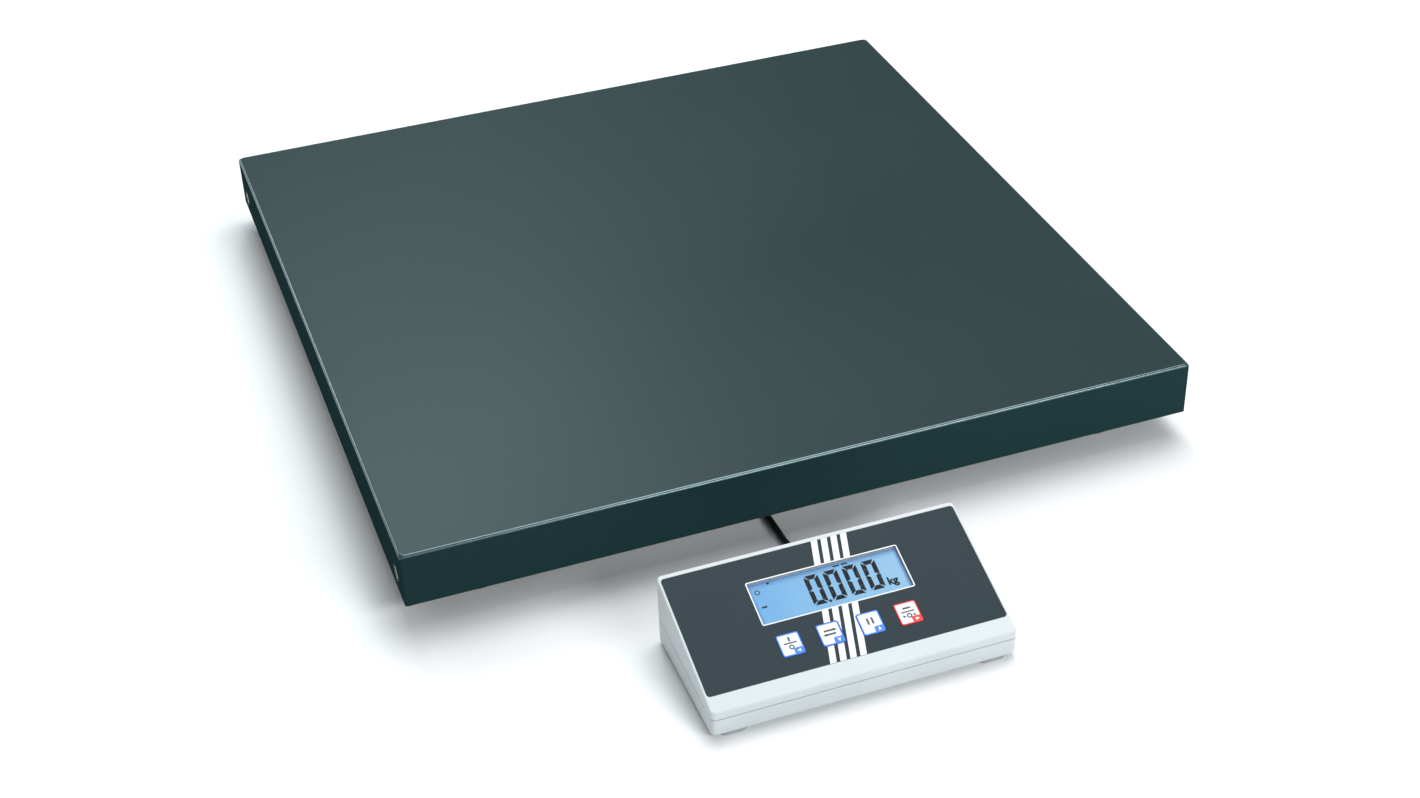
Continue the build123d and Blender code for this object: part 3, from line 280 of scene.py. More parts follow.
white_ink = ink("white_ink", linear(236, 239, 240))
blue_ink = ink("blue_ink", linear(36, 118, 222))
red_ink = ink("red_ink", linear(222, 24, 36))
dark_ink = ink("dark_ink", linear(52, 58, 64))
segment_ink = ink("segment_ink", linear(10, 16, 24), 0.6, Specular_IOR_Level=0.05)
copper_band = finish("copper_band", linear(150, 92, 52), linear(170, 108, 64), (0.25, 0.35), 0.3 * mm,
                     0.004 * mm, patch=0.01, metallic=0.7)


# ==== shape helpers
def rounded_rectangle(width, length, corner, centre=(0.0, 0.0), steps=8):
    """The outline of a rounded rectangle, counter-clockwise from its right side."""
    points = []
    for quarter, (side, end) in enumerate(((1, 1), (-1, 1), (-1, -1), (1, -1))):
        for step in range(steps + 1):
            angle = pi / 2 * (quarter + step / steps)
            points.append((centre[0] + side * (width / 2 - corner) + corner * cos(angle),
                           centre[1] + end * (length / 2 - corner) + corner * sin(angle)))
    return points


def skin(bm, rings, closed=False, index=0):
    """Faces between neighbouring rings; open ends are capped, and closed joins the last to the first."""
    made = [[bm.verts.new(place) for place in ring] for ring in rings]
    pairs = list(zip(made, made[1:]))
    if closed:
        pairs.append((made[-1], made[0]))
    faces = []
    for low, high in pairs:
        for here in range(len(low)):
            there = (here + 1) % len(low)
            faces.append(bm.faces.new((low[here], low[there], high[there], high[here])))
    if not closed:
        faces.append(bm.faces.new(list(reversed(made[0]))))
        faces.append(bm.faces.new(made[-1]))
    for face in faces:
        face.material_index = index
    return faces


def turned(bm, profile, start, axis, steps=48, closed=False, index=0):
    """Turns a profile of (along the axis, radius) points round an axis through start."""
    spin = Vector(axis).to_track_quat("Z", "Y").to_matrix()
    rings = []
    for along, radius in profile:
        ring = []
        for step in range(steps):
            angle = 2 * pi * step / steps
            ring.append(Vector(start) + spin @ Vector((radius * cos(angle), radius * sin(angle), along)))
        rings.append(ring)
    return skin(bm, rings, closed, index)


def middle(low, high):
    """The middle of a box, seen from above."""
    return (low.x + high.x) / 2, (low.y + high.y) / 2


def in_mm(pairs):
    """Pairs of numbers in millimetres, as metres."""
    return [(first * mm, second * mm) for first, second in pairs]


def show(item):
    """Puts an object into the scene."""
    bpy.context.scene.collection.objects.link(item)


def add_mesh(bm, mesh, place, index):
    """Adds a ready mesh to bm at a place, with one material."""
    first_face, first_vert = len(bm.faces), len(bm.verts)
    mesh.transform(place)
    bm.from_mesh(mesh)
    bpy.data.meshes.remove(mesh)
    bm.verts.ensure_lookup_table()
    bm.faces.ensure_lookup_table()
    for face in bm.faces[first_face:]:
        face.material_index = index
    bmesh.ops.remove_doubles(bm, verts=bm.verts[first_vert:], dist=1e-7)


def as_mesh(curve):
    """The mesh of a curve or text, which is then removed."""
    carrier = bpy.data.objects.new("carrier", curve)
    mesh = bpy.data.meshes.new_from_object(carrier)
    bpy.data.objects.remove(carrier)
    bpy.data.curves.remove(curve)
    return mesh


def add_plate(bm, outlines, low, high, place, index=0):
    """A plate between two heights of a plane; outlines inside another are holes in it."""
    curve = bpy.data.curves.new("outline", "CURVE")
    curve.dimensions = "2D"
    curve.fill_mode = "BOTH"
    curve.extrude = (high - low) / 2
    for outline in outlines:
        spline = curve.splines.new("POLY")
        spline.points.add(len(outline) - 1)
        for point, (x, y) in zip(spline.points, outline):
            point.co = (x, y, 0, 1)
        spline.use_cyclic_u = True
    add_mesh(bm, as_mesh(curve), place @ Matrix.Translation((0, 0, (low + high) / 2)), index)


def add_text(bm, text, size, centre, low, high, place, index=0):
    """Plain bold lettering of a size, centred on a spot of a plane."""
    curve = bpy.data.curves.new("lettering", "FONT")
    curve.body = text
    curve.size = size
    curve.offset = 0.04 * size
    curve.align_x = "CENTER"
    curve.align_y = "CENTER"
    curve.extrude = (high - low) / 2
    add_mesh(bm, as_mesh(curve), place @ Matrix.Translation((*centre, (low + high) / 2)), index)


def make_piece(name, bm, body, *finishes, replaces=(), slot=None, smooth=35):
    """Turns bm into a piece that rides on a body and stands for CAD nodes."""
    mesh = bpy.data.meshes.new(name)
    bmesh.ops.recalc_face_normals(bm, faces=bm.faces)
    bm.to_mesh(mesh)
    bm.free()
    mesh.shade_smooth()
    mesh.set_sharp_from_angle(angle=radians(smooth))
    for material in finishes:
        mesh.materials.append(material)
    piece = bpy.data.objects.new(name, mesh)
    show(piece)
    weigh_normals(piece)
    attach(piece, body)
    if replaces:
        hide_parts(*replaces)
    return piece


def weigh_normals(piece):
    """Shades large flat faces flat where they meet small rounded ones."""
    weighted = piece.modifiers.new("weighted", "WEIGHTED_NORMAL")
    weighted.keep_sharp = True


def carve(piece, cutter_bm):
    """Cuts the volume of cutter_bm out of a piece for good."""
    mesh = bpy.data.meshes.new("cutter")
    bmesh.ops.recalc_face_normals(cutter_bm, faces=cutter_bm.faces)
    cutter_bm.to_mesh(mesh)
    cutter_bm.free()
    cutter = bpy.data.objects.new("cutter", mesh)
    show(cutter)
    piece.modifiers.clear()
    cut = piece.modifiers.new("cut", "BOOLEAN")
    cut.operation = "DIFFERENCE"
    cut.solver = "EXACT"
    cut.object = cutter
    bpy.context.view_layer.update()
    carved = bpy.data.meshes.new_from_object(piece.evaluated_get(bpy.context.evaluated_depsgraph_get()))
    piece.modifiers.clear()
    carved.name = piece.name
    piece.data = carved
    carved.set_sharp_from_angle(angle=radians(35))
    bpy.data.objects.remove(cutter)
    bpy.data.meshes.remove(mesh)
    weigh_normals(piece)


# ==== signal cable
def cable_points():
    """The cable's route from the gland, through its coil, to the display."""
    lead_in = [(-26.0, -45.0, 29.5), (-26.0, -57.0, 28.3), (-26.2, -69.5, 21.6), (-26.5, -81.5, 11.8),
               (-26.4, -94.5, 5.0), (-26.0, -108.5, 3.5)]
    lead_out = [(-26.0, -130.0, 8.5), (-26.2, -143.0, 7.0), (-26.6, -156.0, 3.7), (-26.5, -171.0, 2.5),
                (-26.0, -187.0, 2.5), (-26.1, -203.0, 3.0), (-26.3, -217.0, 7.2), (-26.2, -230.0, 12.6),
                (-26.0, -241.5, 14.0)]
    per_turn = 16
    layer_turns = (coil_outer_radius - coil_inner_radius) / cable_diameter
    turns = 2 * layer_turns + 1
    reach = 1 / (0.75 + 0.25 * cos(2 * pi / per_turn))     # the spline runs inside its control points
    tuck = 2.5 * mm                                        # inwards, where it climbs past other turns
    coil = []
    for step in range(round(turns * per_turn) + 1):
        turn = step / per_turn
        climb = min(max(turn - layer_turns, 0.0), 1.0)
        in_layer = min(turn, layer_turns, turns - turn)
        radius = coil_outer_radius - cable_diameter * in_layer - tuck * sin(pi * climb)
        height = layer_heights[0] + climb * (layer_heights[1] - layer_heights[0])
        angle = -2 * pi * turn
        coil.append(coil_centre + Vector((reach * radius * cos(angle), reach * radius * sin(angle), height)))
    return [Vector(place) * mm for place in lead_in] + coil + [Vector(place) * mm for place in lead_out]


def make_cable():
    """One round cable on a smooth spline."""
    curve = bpy.data.curves.new("signal_cable", "CURVE")
    curve.dimensions = "3D"
    curve.resolution_u = 6
    curve.bevel_depth = cable_diameter / 2
    curve.bevel_resolution = 5
    curve.use_fill_caps = True
    spline = curve.splines.new("NURBS")
    points = cable_points()
    spline.points.add(len(points) - 1)
    for point, place in zip(spline.points, points):
        point.co = (*place, 1)
    spline.order_u = 3
    spline.use_endpoint_u = True
    curve.materials.append(materials["cable_jacket"])
    cable = bpy.data.objects.new("signal_cable", curve)
    show(cable)
    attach(cable, "scale")
    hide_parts("cable_lead_in", "cable_coil", "cable_lead_out")
    return cable, points[0]


def make_cable_straps():
    """Two straps of hook-and-loop tape round the coil, each a closed loop."""
    bm = bmesh.new()
    width = 8.0 * mm
    thickness = 1.0 * mm
    low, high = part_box("cable_tie")
    ring_middle = 30.0 * mm
    loop_width = 26.0 * mm
    loop_height = high.z - low.z - 2 * thickness
    for angle in (150, 240):
        place = (Matrix.Translation((coil_centre.x, coil_centre.y, (low.z + high.z) / 2))
                 @ Matrix.Rotation(radians(angle), 4, "Z")
                 @ Matrix.Translation((ring_middle, width / 2, 0)) @ Matrix.Rotation(pi / 2, 4, "X"))
        outer = rounded_rectangle(loop_width + 2 * thickness, loop_height + 2 * thickness, 3.5 * mm)
        inner = rounded_rectangle(loop_width, loop_height, 2.5 * mm)
        add_plate(bm, [outer, inner], 0, width, place)
    return make_piece("cable_straps", bm, "scale", strap_cloth, replaces=["cable_tie"], slot="black_plastic")


def make_strain_relief():
    """A tapered sleeve with five slots, where the cable enters the display's rear wall."""
    bm = bmesh.new()
    low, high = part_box("strain_relief")
    start = Vector(((low.x + high.x) / 2, low.y, (low.z + high.z) / 2))
    length = high.y - low.y
    wall_start, wall_end = 2.0 * mm, 4.5 * mm
    bore = 2.45 * mm
    profile = [(0, bore), (0, 5.4 * mm), (0.3 * mm, 5.6 * mm), (wall_start, 5.6 * mm), (wall_start, 4.0 * mm),
               (wall_end, 4.0 * mm), (wall_end, 4.9 * mm), (wall_end + 0.3 * mm, 5.2 * mm),
               (wall_end + 1.3 * mm, 5.0 * mm)]
    sleeve_start = wall_end + 1.5 * mm
    for rib in range(6):
        rib_start = sleeve_start + rib * 3.0 * mm
        for step, inset in ((0.0, 0.15), (0.25, 0.0), (1.55, 0.0), (1.8, 0.15), (1.8, 1.0), (3.0, 1.0)):
            along = rib_start + step * mm
            share = min((along - sleeve_start) / (length - sleeve_start), 1.0)
            outer = (4.6 - 1.3 * share) * mm - inset * mm
            if along < length:
                profile.append((along, max(outer, 2.9 * mm)))
    profile += [(length, 3.1 * mm), (length, bore)]
    turned(bm, profile, start, (0, 1, 0), closed=True)
    return make_piece("cable_sleeve", bm, "scale", materials["black_rubber"], replaces=["strain_relief"],
                      slot="black_rubber")


cable, cable_exit = make_cable()
straps = make_cable_straps()
sleeve = make_strain_relief()


# ==== platform
def make_platform_cover():
    """A folded pan with rolled top edges, crisp upright corners and four screw dimples."""
    bm = bmesh.new()
    low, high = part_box("platform_cover")
    centre = middle(low, high)
    width, length = high.x - low.x, high.y - low.y
    burr = 0.3 * mm
    top_corner = 5.0 * mm
    arc_steps = 8

    def ring(inset, corner, height):
        outline = rounded_rectangle(width - 2 * inset, length - 2 * inset, corner, centre)
        return [Vector((x, y, height)) for x, y in outline]

    rings = [ring(fold_radius + 1.5 * mm, top_corner, high.z)]
    for step in range(arc_steps + 1):
        angle = pi / 2 * (1 - step / arc_steps)
        corner = cover_corner + (top_corner - cover_corner) * (1 - step / arc_steps)
        rings.append(ring(fold_radius * (1 - cos(angle)), corner, high.z - fold_radius * (1 - sin(angle))))
    rings += [ring(0, cover_corner, low.z + burr), ring(burr, cover_corner, low.z),
              ring(sheet - burr, 0.5 * mm, low.z), ring(sheet, 0.5 * mm, low.z + burr)]
    inner_fold = 0.5 * mm
    for step in range(arc_steps + 1):
        angle = pi / 2 * step / arc_steps
        inset = sheet + inner_fold * (1 - cos(angle))
        rings.append(ring(inset, 0.5 * mm + 1.5 * mm * step / arc_steps,
                          high.z - sheet - inner_fold * (1 - sin(angle))))
    rings.append(ring(fold_radius + 1.5 * mm, 2.0 * mm, high.z - sheet))
    faces = skin(bm, rings)
    bmesh.ops.recalc_face_normals(bm, faces=faces)
    # The top, the skirts with what lies under them, and the fold take the lit, shaded and highlight copies of
    # the one paint.
    for face in faces:                   # top, skirts and what lies under them, and the fold between
        if face.normal.z < 0.99:
            face.material_index = 2 if face.normal.z > 0.12 else 1
    cover = make_piece("weighing_cover", bm, "scale", materials["cover_paint"], skirt_shaded_paint, fold_highlight_paint,
                       replaces=["platform_cover"], slot="cover_paint")
    dimples = bmesh.new()
    for place, outwards in screw_places():
        profile = [(-1.0, 5.7), (0.0, 5.7), (0.12, 5.35), (0.35, 5.05), (sheet / mm, 3.0), (3.0, 2.7)]
        turned(dimples, in_mm(profile), place, (-outwards, 0, 0))
    carve(cover, dimples)


def screw_places():
    """Where each cover screw's axis meets the skirt, and which way is out."""
    low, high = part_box("platform_cover")
    screws_low, screws_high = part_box("cover_screws")
    height = (screws_low.z + screws_high.z) / 2
    inset = (screws_high.z - screws_low.z) / 2
    return [(Vector((x, y, height)), outwards)
            for x, outwards in ((low.x, -1), (high.x, 1))
            for y in (screws_low.y + inset, screws_high.y - inset)]


def make_cover_screws():
    """Countersunk screws with a cross recess, threaded behind the sheet."""
    bm = bmesh.new()
    for place, outwards in screw_places():
        profile = [(0.25, 3.6), (0.35, 4.3), (0.6, 4.6), (0.75, 4.6), (2.3, 2.6)]
        for turn in range(12):
            profile += [(2.4 + 0.8 * turn, 2.2), (2.8 + 0.8 * turn, 2.5)]
        profile.append((12.0, 2.0))
        turned(bm, in_mm(profile), place, (-outwards, 0, 0), 32)
    screws = make_piece("skirt_screws", bm, "scale", materials["bright_steel"], replaces=["cover_screws"],
                        slot="bright_steel")
    recesses = bmesh.new()
    for place, outwards in screw_places():
        turn = Vector((outwards, 0, 0)).to_track_quat("Z", "Y").to_matrix().to_4x4()
        face = Matrix.Translation(place) @ turn
        wide, narrow = 2.4 * mm, 0.55 * mm
        cross = [(wide, -narrow), (wide, narrow), (narrow, narrow), (narrow, wide), (-narrow, wide),
                 (-narrow, narrow), (-wide, narrow), (-wide, -narrow), (-narrow, -narrow), (-narrow, -wide),
                 (narrow, -wide), (narrow, -narrow)]
        add_plate(recesses, [cross], -1.7 * mm, 1.0 * mm, face)
    carve(screws, recesses)


def make_foot(corner):
    """A levelling foot: a moulded pad with a rubber sole, and a threaded stem with a wrench hexagon."""
    pad_low, pad_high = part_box("foot_pad_" + corner)
    stem_low, stem_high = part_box("foot_stem_" + corner)
    axis = Vector((*middle(pad_low, pad_high), 0.0))
    pad_radius = (pad_high.x - pad_low.x) / 2 / mm
    pad_top = pad_high.z / mm
    bm = bmesh.new()
    sole = [(0.0, 9.0), (0.6, 9.6), (0.6, 12.0), (0.0, 12.6), (0.0, pad_radius - 1.4),
            (0.4, pad_radius - 0.5), (1.2, pad_radius), (2.6, pad_radius), (2.6, 3.9)]
    turned(bm, in_mm(sole), axis, (0, 0, 1), 64)
    shell = [(2.6, 4.0), (2.6, pad_radius - 0.5), (2.9, pad_radius - 0.2), (5.2, pad_radius - 0.2),
             (6.2, pad_radius - 0.8), (7.0, pad_radius - 2.6), (8.4, 13.6), (9.4, 11.2),
             (pad_top - 0.5, 10.3), (pad_top, 9.8), (pad_top, 4.2), (4.0, 4.1)]
    turned(bm, in_mm(shell), axis, (0, 0, 1), 64, True, 1)
    make_piece("pad_" + corner, bm, "foot_pad_" + corner, materials["black_rubber"], materials["grey_rubber"],
               replaces=["foot_pad_" + corner], slot="black_rubber")

    bm = bmesh.new()
    hexagon_low, hexagon_high = 11.0 * mm, 16.0 * mm
    rows_per_pitch, steps = 6, 24
    rings = []
    for along, radius in ((stem_low.z, 3.4 * mm), (stem_low.z + 0.5 * mm, stem_radius)):
        rings.append([(radius, step, along) for step in range(steps)])
    row_height = thread_pitch / rows_per_pitch
    rows = int((stem_high.z - hexagon_high) / row_height)
    rings.append([(stem_radius, step, hexagon_high - 1.0 * mm) for step in range(steps)])
    for row in range(rows):
        along = hexagon_high + row * row_height
        taper = min(1.0, (stem_high.z - along) / (0.8 * mm))
        ring = []
        for step in range(steps):
            phase = (row / rows_per_pitch - step / steps) % 1.0
            radius = stem_radius - 0.6 * mm * abs(2 * phase - 1)
            ring.append((min(radius, (3.1 + 0.85 * taper) * mm), step, along))
        rings.append(ring)
    rings.append([(3.0 * mm, step, stem_high.z) for step in range(steps)])
    turns = [Vector((cos(2 * pi * step / steps), sin(2 * pi * step / steps), 0)) for step in range(steps)]
    skin(bm, [[axis + radius * turns[step] + Vector((0, 0, along)) for radius, step, along in ring]
              for ring in rings])
    hexagon = []
    for inset, along in ((0.5, hexagon_low), (0.0, hexagon_low + 0.4 * mm), (0.0, hexagon_high - 0.4 * mm),
                         (0.5, hexagon_high)):
        reach = 6.5 * mm / cos(pi / 6) - inset * mm
        hexagon.append([axis + Vector((reach * cos(pi / 3 * side), reach * sin(pi / 3 * side), along))
                        for side in range(6)])
    skin(bm, hexagon)
    make_piece("stem_" + corner, bm, "foot_stem_" + corner, materials["bright_steel"],
               replaces=["foot_stem_" + corner], slot="bright_steel")


make_platform_cover()
make_cover_screws()
for corner_name in corners:
    make_foot(corner_name)

# ==== display unit
housing_low, housing_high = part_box("lower_housing")
display_x = (housing_low.x + housing_high.x) / 2
display_width = housing_high.x - housing_low.x
display_depth = housing_high.y - housing_low.y
display_y = (housing_low.y + housing_high.y) / 2
rise = (display_rear_height - display_front_height) / display_depth
face_x = Vector((1, 0, 0))
face_y = Vector((0, 1, rise)).normalized()
face_z = face_x.cross(face_y)
# The face plane: its origin is in the middle, a little in front of the top rear edge, +X to the right,
# +Y up the slope.
face_place = Matrix((face_x, face_y, face_z)).transposed().to_4x4()
face_place.translation = Vector((display_x, housing_high.y - face_inset,
                                 display_rear_height - face_inset * rise))
to_face = face_place.inverted()


def face_box(node):
    """A CAD node's lowest and highest corners in the face plane's own axes."""
    places = [to_face @ vertex.co for vertex in nodes[node].data.vertices]
    low = Vector([min(place[axis] for place in places) for axis in range(3)])
    high = Vector([max(place[axis] for place in places) for axis in range(3)])
    return low, high


def face_ring(width, length, corner, centre, height):
    """A rounded rectangle on the face plane, at a height above it."""
    return [face_place @ Vector((x, y, height)) for x, y in rounded_rectangle(width, length, corner, centre)]


def inner_ring(size, inset, corner, centre, height):
    """A rounded rectangle on the face plane, inside one of a size by inset."""
    return face_ring(size.x - 2 * inset, size.y - 2 * inset, corner, centre, height)


def slope_height(y, drop=0.0):
    """Height of the sloped face, or of a plane a little way straight under it, at y."""
    return display_front_height + rise * (y - housing_low.y) - drop


def seam_height(y, above=0.0):
    """Height of the parting line between the two housings, at y."""
    seam_rise = (seam_rear_height - seam_front_height) / display_depth
    return seam_front_height + seam_rise * (y - housing_low.y) + above


def wall_ring(inset, height_at, corner=None):
    """A ring round the housing, inside its outline by inset, at a height that depends on y."""
    corner = max(housing_corner - inset, 0.8 * mm) if corner is None else corner
    outline = rounded_rectangle(display_width - 2 * inset, display_depth - 2 * inset, corner,
                                (display_x, display_y))
    return [Vector((x, y, height_at(y))) for x, y in outline]


panel_low, panel_high = face_box("overlay")
panel_size = panel_high - panel_low
panel_centre = (panel_low + panel_high) / 2
lens_low, lens_high = face_box("window_lens")
window_low = Vector((lens_low.x + lens_flange, lens_low.y + lens_flange))
window_high = Vector((lens_high.x - lens_flange, lens_high.y - lens_flange))
window_size = window_high - window_low
window_centre = (window_low + window_high) / 2
# each key's rim, and where the arrow on its tab points, in degrees from the right
key_looks = {"key_on_off": (blue_ink, 180), "key_units": (blue_ink, 270), "key_hold": (blue_ink, 90),
             "key_tare": (red_ink, 0)}


def make_upper_housing():
    """The upper shell: soft edges, a pocket for the panel, and a groove along the parting line."""
    bm = bmesh.new()
    groove = 0.6 * mm
    arc_steps = 6
    groove_depth = 0.9 * mm
    rings = [wall_ring(groove_depth, seam_height), wall_ring(groove_depth, lambda y: seam_height(y, groove)),
             wall_ring(0.15 * mm, lambda y: seam_height(y, groove)),
             wall_ring(0, lambda y: seam_height(y, groove + 0.15 * mm))]
    for step in range(arc_steps + 1):
        angle = pi / 2 * step / arc_steps
        rings.append(wall_ring(housing_edge * (1 - cos(angle)),
                               lambda y, drop=housing_edge * (1 - sin(angle)): slope_height(y, drop)))
    gap = 0.1 * mm
    pocket = (panel_size.x + 2 * gap, panel_size.y + 2 * gap)
    centre = (panel_centre.x, panel_centre.y)
    rings.append(face_ring(pocket[0] + 0.4 * mm, pocket[1] + 0.4 * mm, panel_corner + 0.3 * mm, centre, 0))
    rings.append(face_ring(*pocket, panel_corner + gap, centre, -0.2 * mm))
    rings.append(face_ring(*pocket, panel_corner + gap, centre, -recess_depth))
    opening = (window_size.x - 2 * opening_inset, window_size.y - 2 * opening_inset, 1.0 * mm, window_centre)
    rings.append(face_ring(*opening, -recess_depth))
    rings.append(face_ring(*opening, -top_wall))
    inner_drop = top_wall / face_z.z
    rings.append(wall_ring(housing_wall, lambda y: slope_height(y, inner_drop)))
    rings.append(wall_ring(housing_wall, seam_height))
    skin(bm, rings, closed=True)
    make_piece("top_shell", bm, "scale", materials["housing_plastic"], replaces=["upper_housing"],
               slot="housing_plastic")


def make_overlay():
    """The printed panel: its film with a window and key openings, a window border and plain stripes."""
    bm = bmesh.new()
    window = rounded_rectangle(window_size.x, window_size.y, window_corner, window_centre)
    outlines = [rounded_rectangle(panel_size.x, panel_size.y, panel_corner, panel_centre), window]
    key_gap = 0.25 * mm
    keys = []
    for name in key_looks:
        low, high = face_box(name)
        keys.append(rounded_rectangle(high.x - low.x + 2 * key_gap, high.y - low.y + 2 * key_gap, 1.75 * mm,
                                      middle(low, high)))
    add_plate(bm, outlines + keys, panel_low.z, panel_high.z, face_place)
    make_piece("panel", bm, "scale", materials["overlay_film"], replaces=["overlay"], slot="overlay_film")

    bm = bmesh.new()
    ink_top = 0.06 * mm
    border = 0.62 * mm
    overlap = 0.15 * mm
    border_outer = rounded_rectangle(window_size.x + 2 * overlap, window_size.y + 2 * overlap,
                                     window_corner + overlap, window_centre)
    border_inner = rounded_rectangle(window_size.x - 2 * border, window_size.y - 2 * border, 0.6 * mm,
                                     window_centre)
    add_plate(bm, [border_outer, border_inner], -0.14 * mm, ink_top, face_place)
    stripe_width, stripe_pitch, stripe_count = 4.1 * mm, 6.5 * mm, 4
    lean = 0.243                         # to the left, for each step down the panel
    top_left = 1.5 * mm
    for stripe in range(stripe_count):
        for top, bottom in ((panel_high.y, window_high.y), (window_low.y, panel_low.y)):
            left = top_left + stripe * stripe_pitch
            right = left + stripe_width
            outline = [(x + lean * (y - panel_high.y), y)
                       for x, y in ((left, top), (left, bottom), (right, bottom), (right, top))]
            add_plate(bm, [outline], -0.1 * mm, ink_top - 0.01 * mm, face_place)
    prints = make_piece("panel_print", bm, "scale", white_ink, slot="overlay_film")
    cutter = bmesh.new()
    for outline in keys:
        add_plate(cutter, [outline], -1.0 * mm, 1.0 * mm, face_place)
    carve(prints, cutter)


def segment_outlines(width, height, thickness, gap):
    """The six lit strokes of a seven-segment zero, with its lower left corner at the origin."""
    cut = 0.25 * thickness
    upper = [(cut + gap, height), (width - cut - gap, height), (width - thickness - gap, height - thickness),
             (thickness + gap, height - thickness)]
    waist = height / 2
    left = [(0, height - cut - gap), (thickness, height - thickness - gap), (thickness, waist + 1.2 * mm),
            (0.5 * thickness, waist + gap), (0, waist + gap)]

    def mirrored(outline, across, up):
        return [(width - x if across else x, height - y if up else y) for x, y in outline]

    return [upper, mirrored(upper, False, True), left, mirrored(left, True, False),
            mirrored(left, False, True), mirrored(left, True, True)]


def make_lcd():
    """The lit display with its digits, unit and small marks."""
    low, high = face_box("lcd_glass")
    bm = bmesh.new()
    size = high - low
    centre = middle(low, high)
    rings = []
    for inset, height in ((0.2, low.z), (0.0, low.z + 0.2 * mm), (0.0, high.z - 0.2 * mm), (0.2, high.z)):
        rings.append(inner_ring(size, inset * mm, 0.6 * mm, centre, height))
    skin(bm, rings)
    ink_low, ink_high = high.z - 0.05 * mm, high.z + 0.05 * mm
    digit_width, digit_height, stroke, gap = 9.5 * mm, 21.6 * mm, 3.0 * mm, 0.12 * mm
    pitch = 12.6 * mm
    first = Vector((-12.3, -44.9)) * mm
    slant = 0.01
    prints = []
    for digit in range(4):
        for outline in segment_outlines(digit_width, digit_height, stroke, gap):
            prints.append([[(first.x + digit * pitch + x + slant * y, first.y + y) for x, y in outline]])
    point_centre = (first.x + pitch - 1.9 * mm, first.y + 0.7 * mm)
    prints.append([rounded_rectangle(1.8 * mm, 1.8 * mm, 0.4 * mm, point_centre)])
    ring_centre = (-42.7 * mm, -26.0 * mm)
    prints.append([rounded_rectangle(width, width, width / 2, ring_centre) for width in (3.4 * mm, 2.3 * mm)])
    for x, y, width, length in ((-41.9, -36.9, 3.4, 1.2), (-34.2, -21.4, 1.5, 1.5), (10.6, -21.5, 4.2, 1.0),
                                (16.2, -21.5, 4.2, 1.0)):
        prints.append([rounded_rectangle(width * mm, length * mm, 0.3 * mm, (x * mm, y * mm))])
    for outlines in prints:
        add_plate(bm, outlines, ink_low, ink_high, face_place, 1)
    add_text(bm, "kg", 7.4 * mm, (40.6 * mm, -41.6 * mm), ink_low, ink_high, face_place, 1)
    make_piece("number_display", bm, "scale", materials["lcd"], segment_ink, replaces=["lcd_glass"],
               slot="lcd")


def make_window():
    """The clear window: a flange under the panel, and a plate in its opening with a fine chamfer."""
    bm = bmesh.new()
    flange_top = lens_low.z + 0.4 * mm
    rings = []
    for inset, height in ((-lens_flange, lens_low.z), (-lens_flange, flange_top), (0.05 * mm, flange_top),
                          (0.05 * mm, lens_high.z - 0.15 * mm), (0.2 * mm, lens_high.z)):
        rings.append(inner_ring(window_size, inset, window_corner, window_centre, height))
    skin(bm, rings)
    make_piece("window", bm, "scale", materials["clear_window"], replaces=["window_lens"],
               slot="clear_window")


def arrow(centre, size, turn):
    """A solid triangle of a size that points along turn, in degrees from the right."""
    outline = []
    for reach, angle in ((0.62, 0), (0.55, 130), (0.55, 230)):
        direction = radians(angle + turn)
        outline.append((centre[0] + size * reach * cos(direction), centre[1] + size * reach * sin(direction)))
    return outline


def bar(centre, width, length):
    """A plain printed bar."""
    return rounded_rectangle(width, length, min(width, length) * 0.2, centre, 3)


def key_legend(name, x, y):
    """The dark marks of a key round its centre: sets of outlines, holes with their own shape."""
    line = 1.3 * mm
    ring = [rounded_rectangle(3.4 * mm, 3.4 * mm, 1.7 * mm, (x, y - 2.0 * mm)),
            rounded_rectangle(1.7 * mm, 1.7 * mm, 0.85 * mm, (x, y - 2.0 * mm))]
    rule = [bar((x, y + 0.9 * mm), 8.4 * mm, 0.95 * mm)]
    if name == "key_on_off":
        return [[bar((x, y + 3.6 * mm), line, 3.2 * mm)], rule, ring]
    if name == "key_units":
        arrows = []
        for side, up, angle in ((1, 2.3 * mm, 0), (-1, -0.4 * mm, 180)):
            arrows.append([bar((x - side * 0.5 * mm, y + up), 6.0 * mm, line)])
            arrows.append([arrow((x + side * 3.4 * mm, y + up), 2.6 * mm, angle)])
        return arrows
    if name == "key_hold":
        return [[bar((x + side * 1.5 * mm, y + 1.2 * mm), 1.3 * mm, 4.6 * mm)] for side in (-1, 1)]
    return [[bar((x, y + 3.4 * mm), 5.0 * mm, line)], rule, ring,
            [arrow((x - 3.3 * mm, y - 2.0 * mm), 2.2 * mm, 0)],
            [arrow((x + 3.3 * mm, y - 2.0 * mm), 2.2 * mm, 180)]]


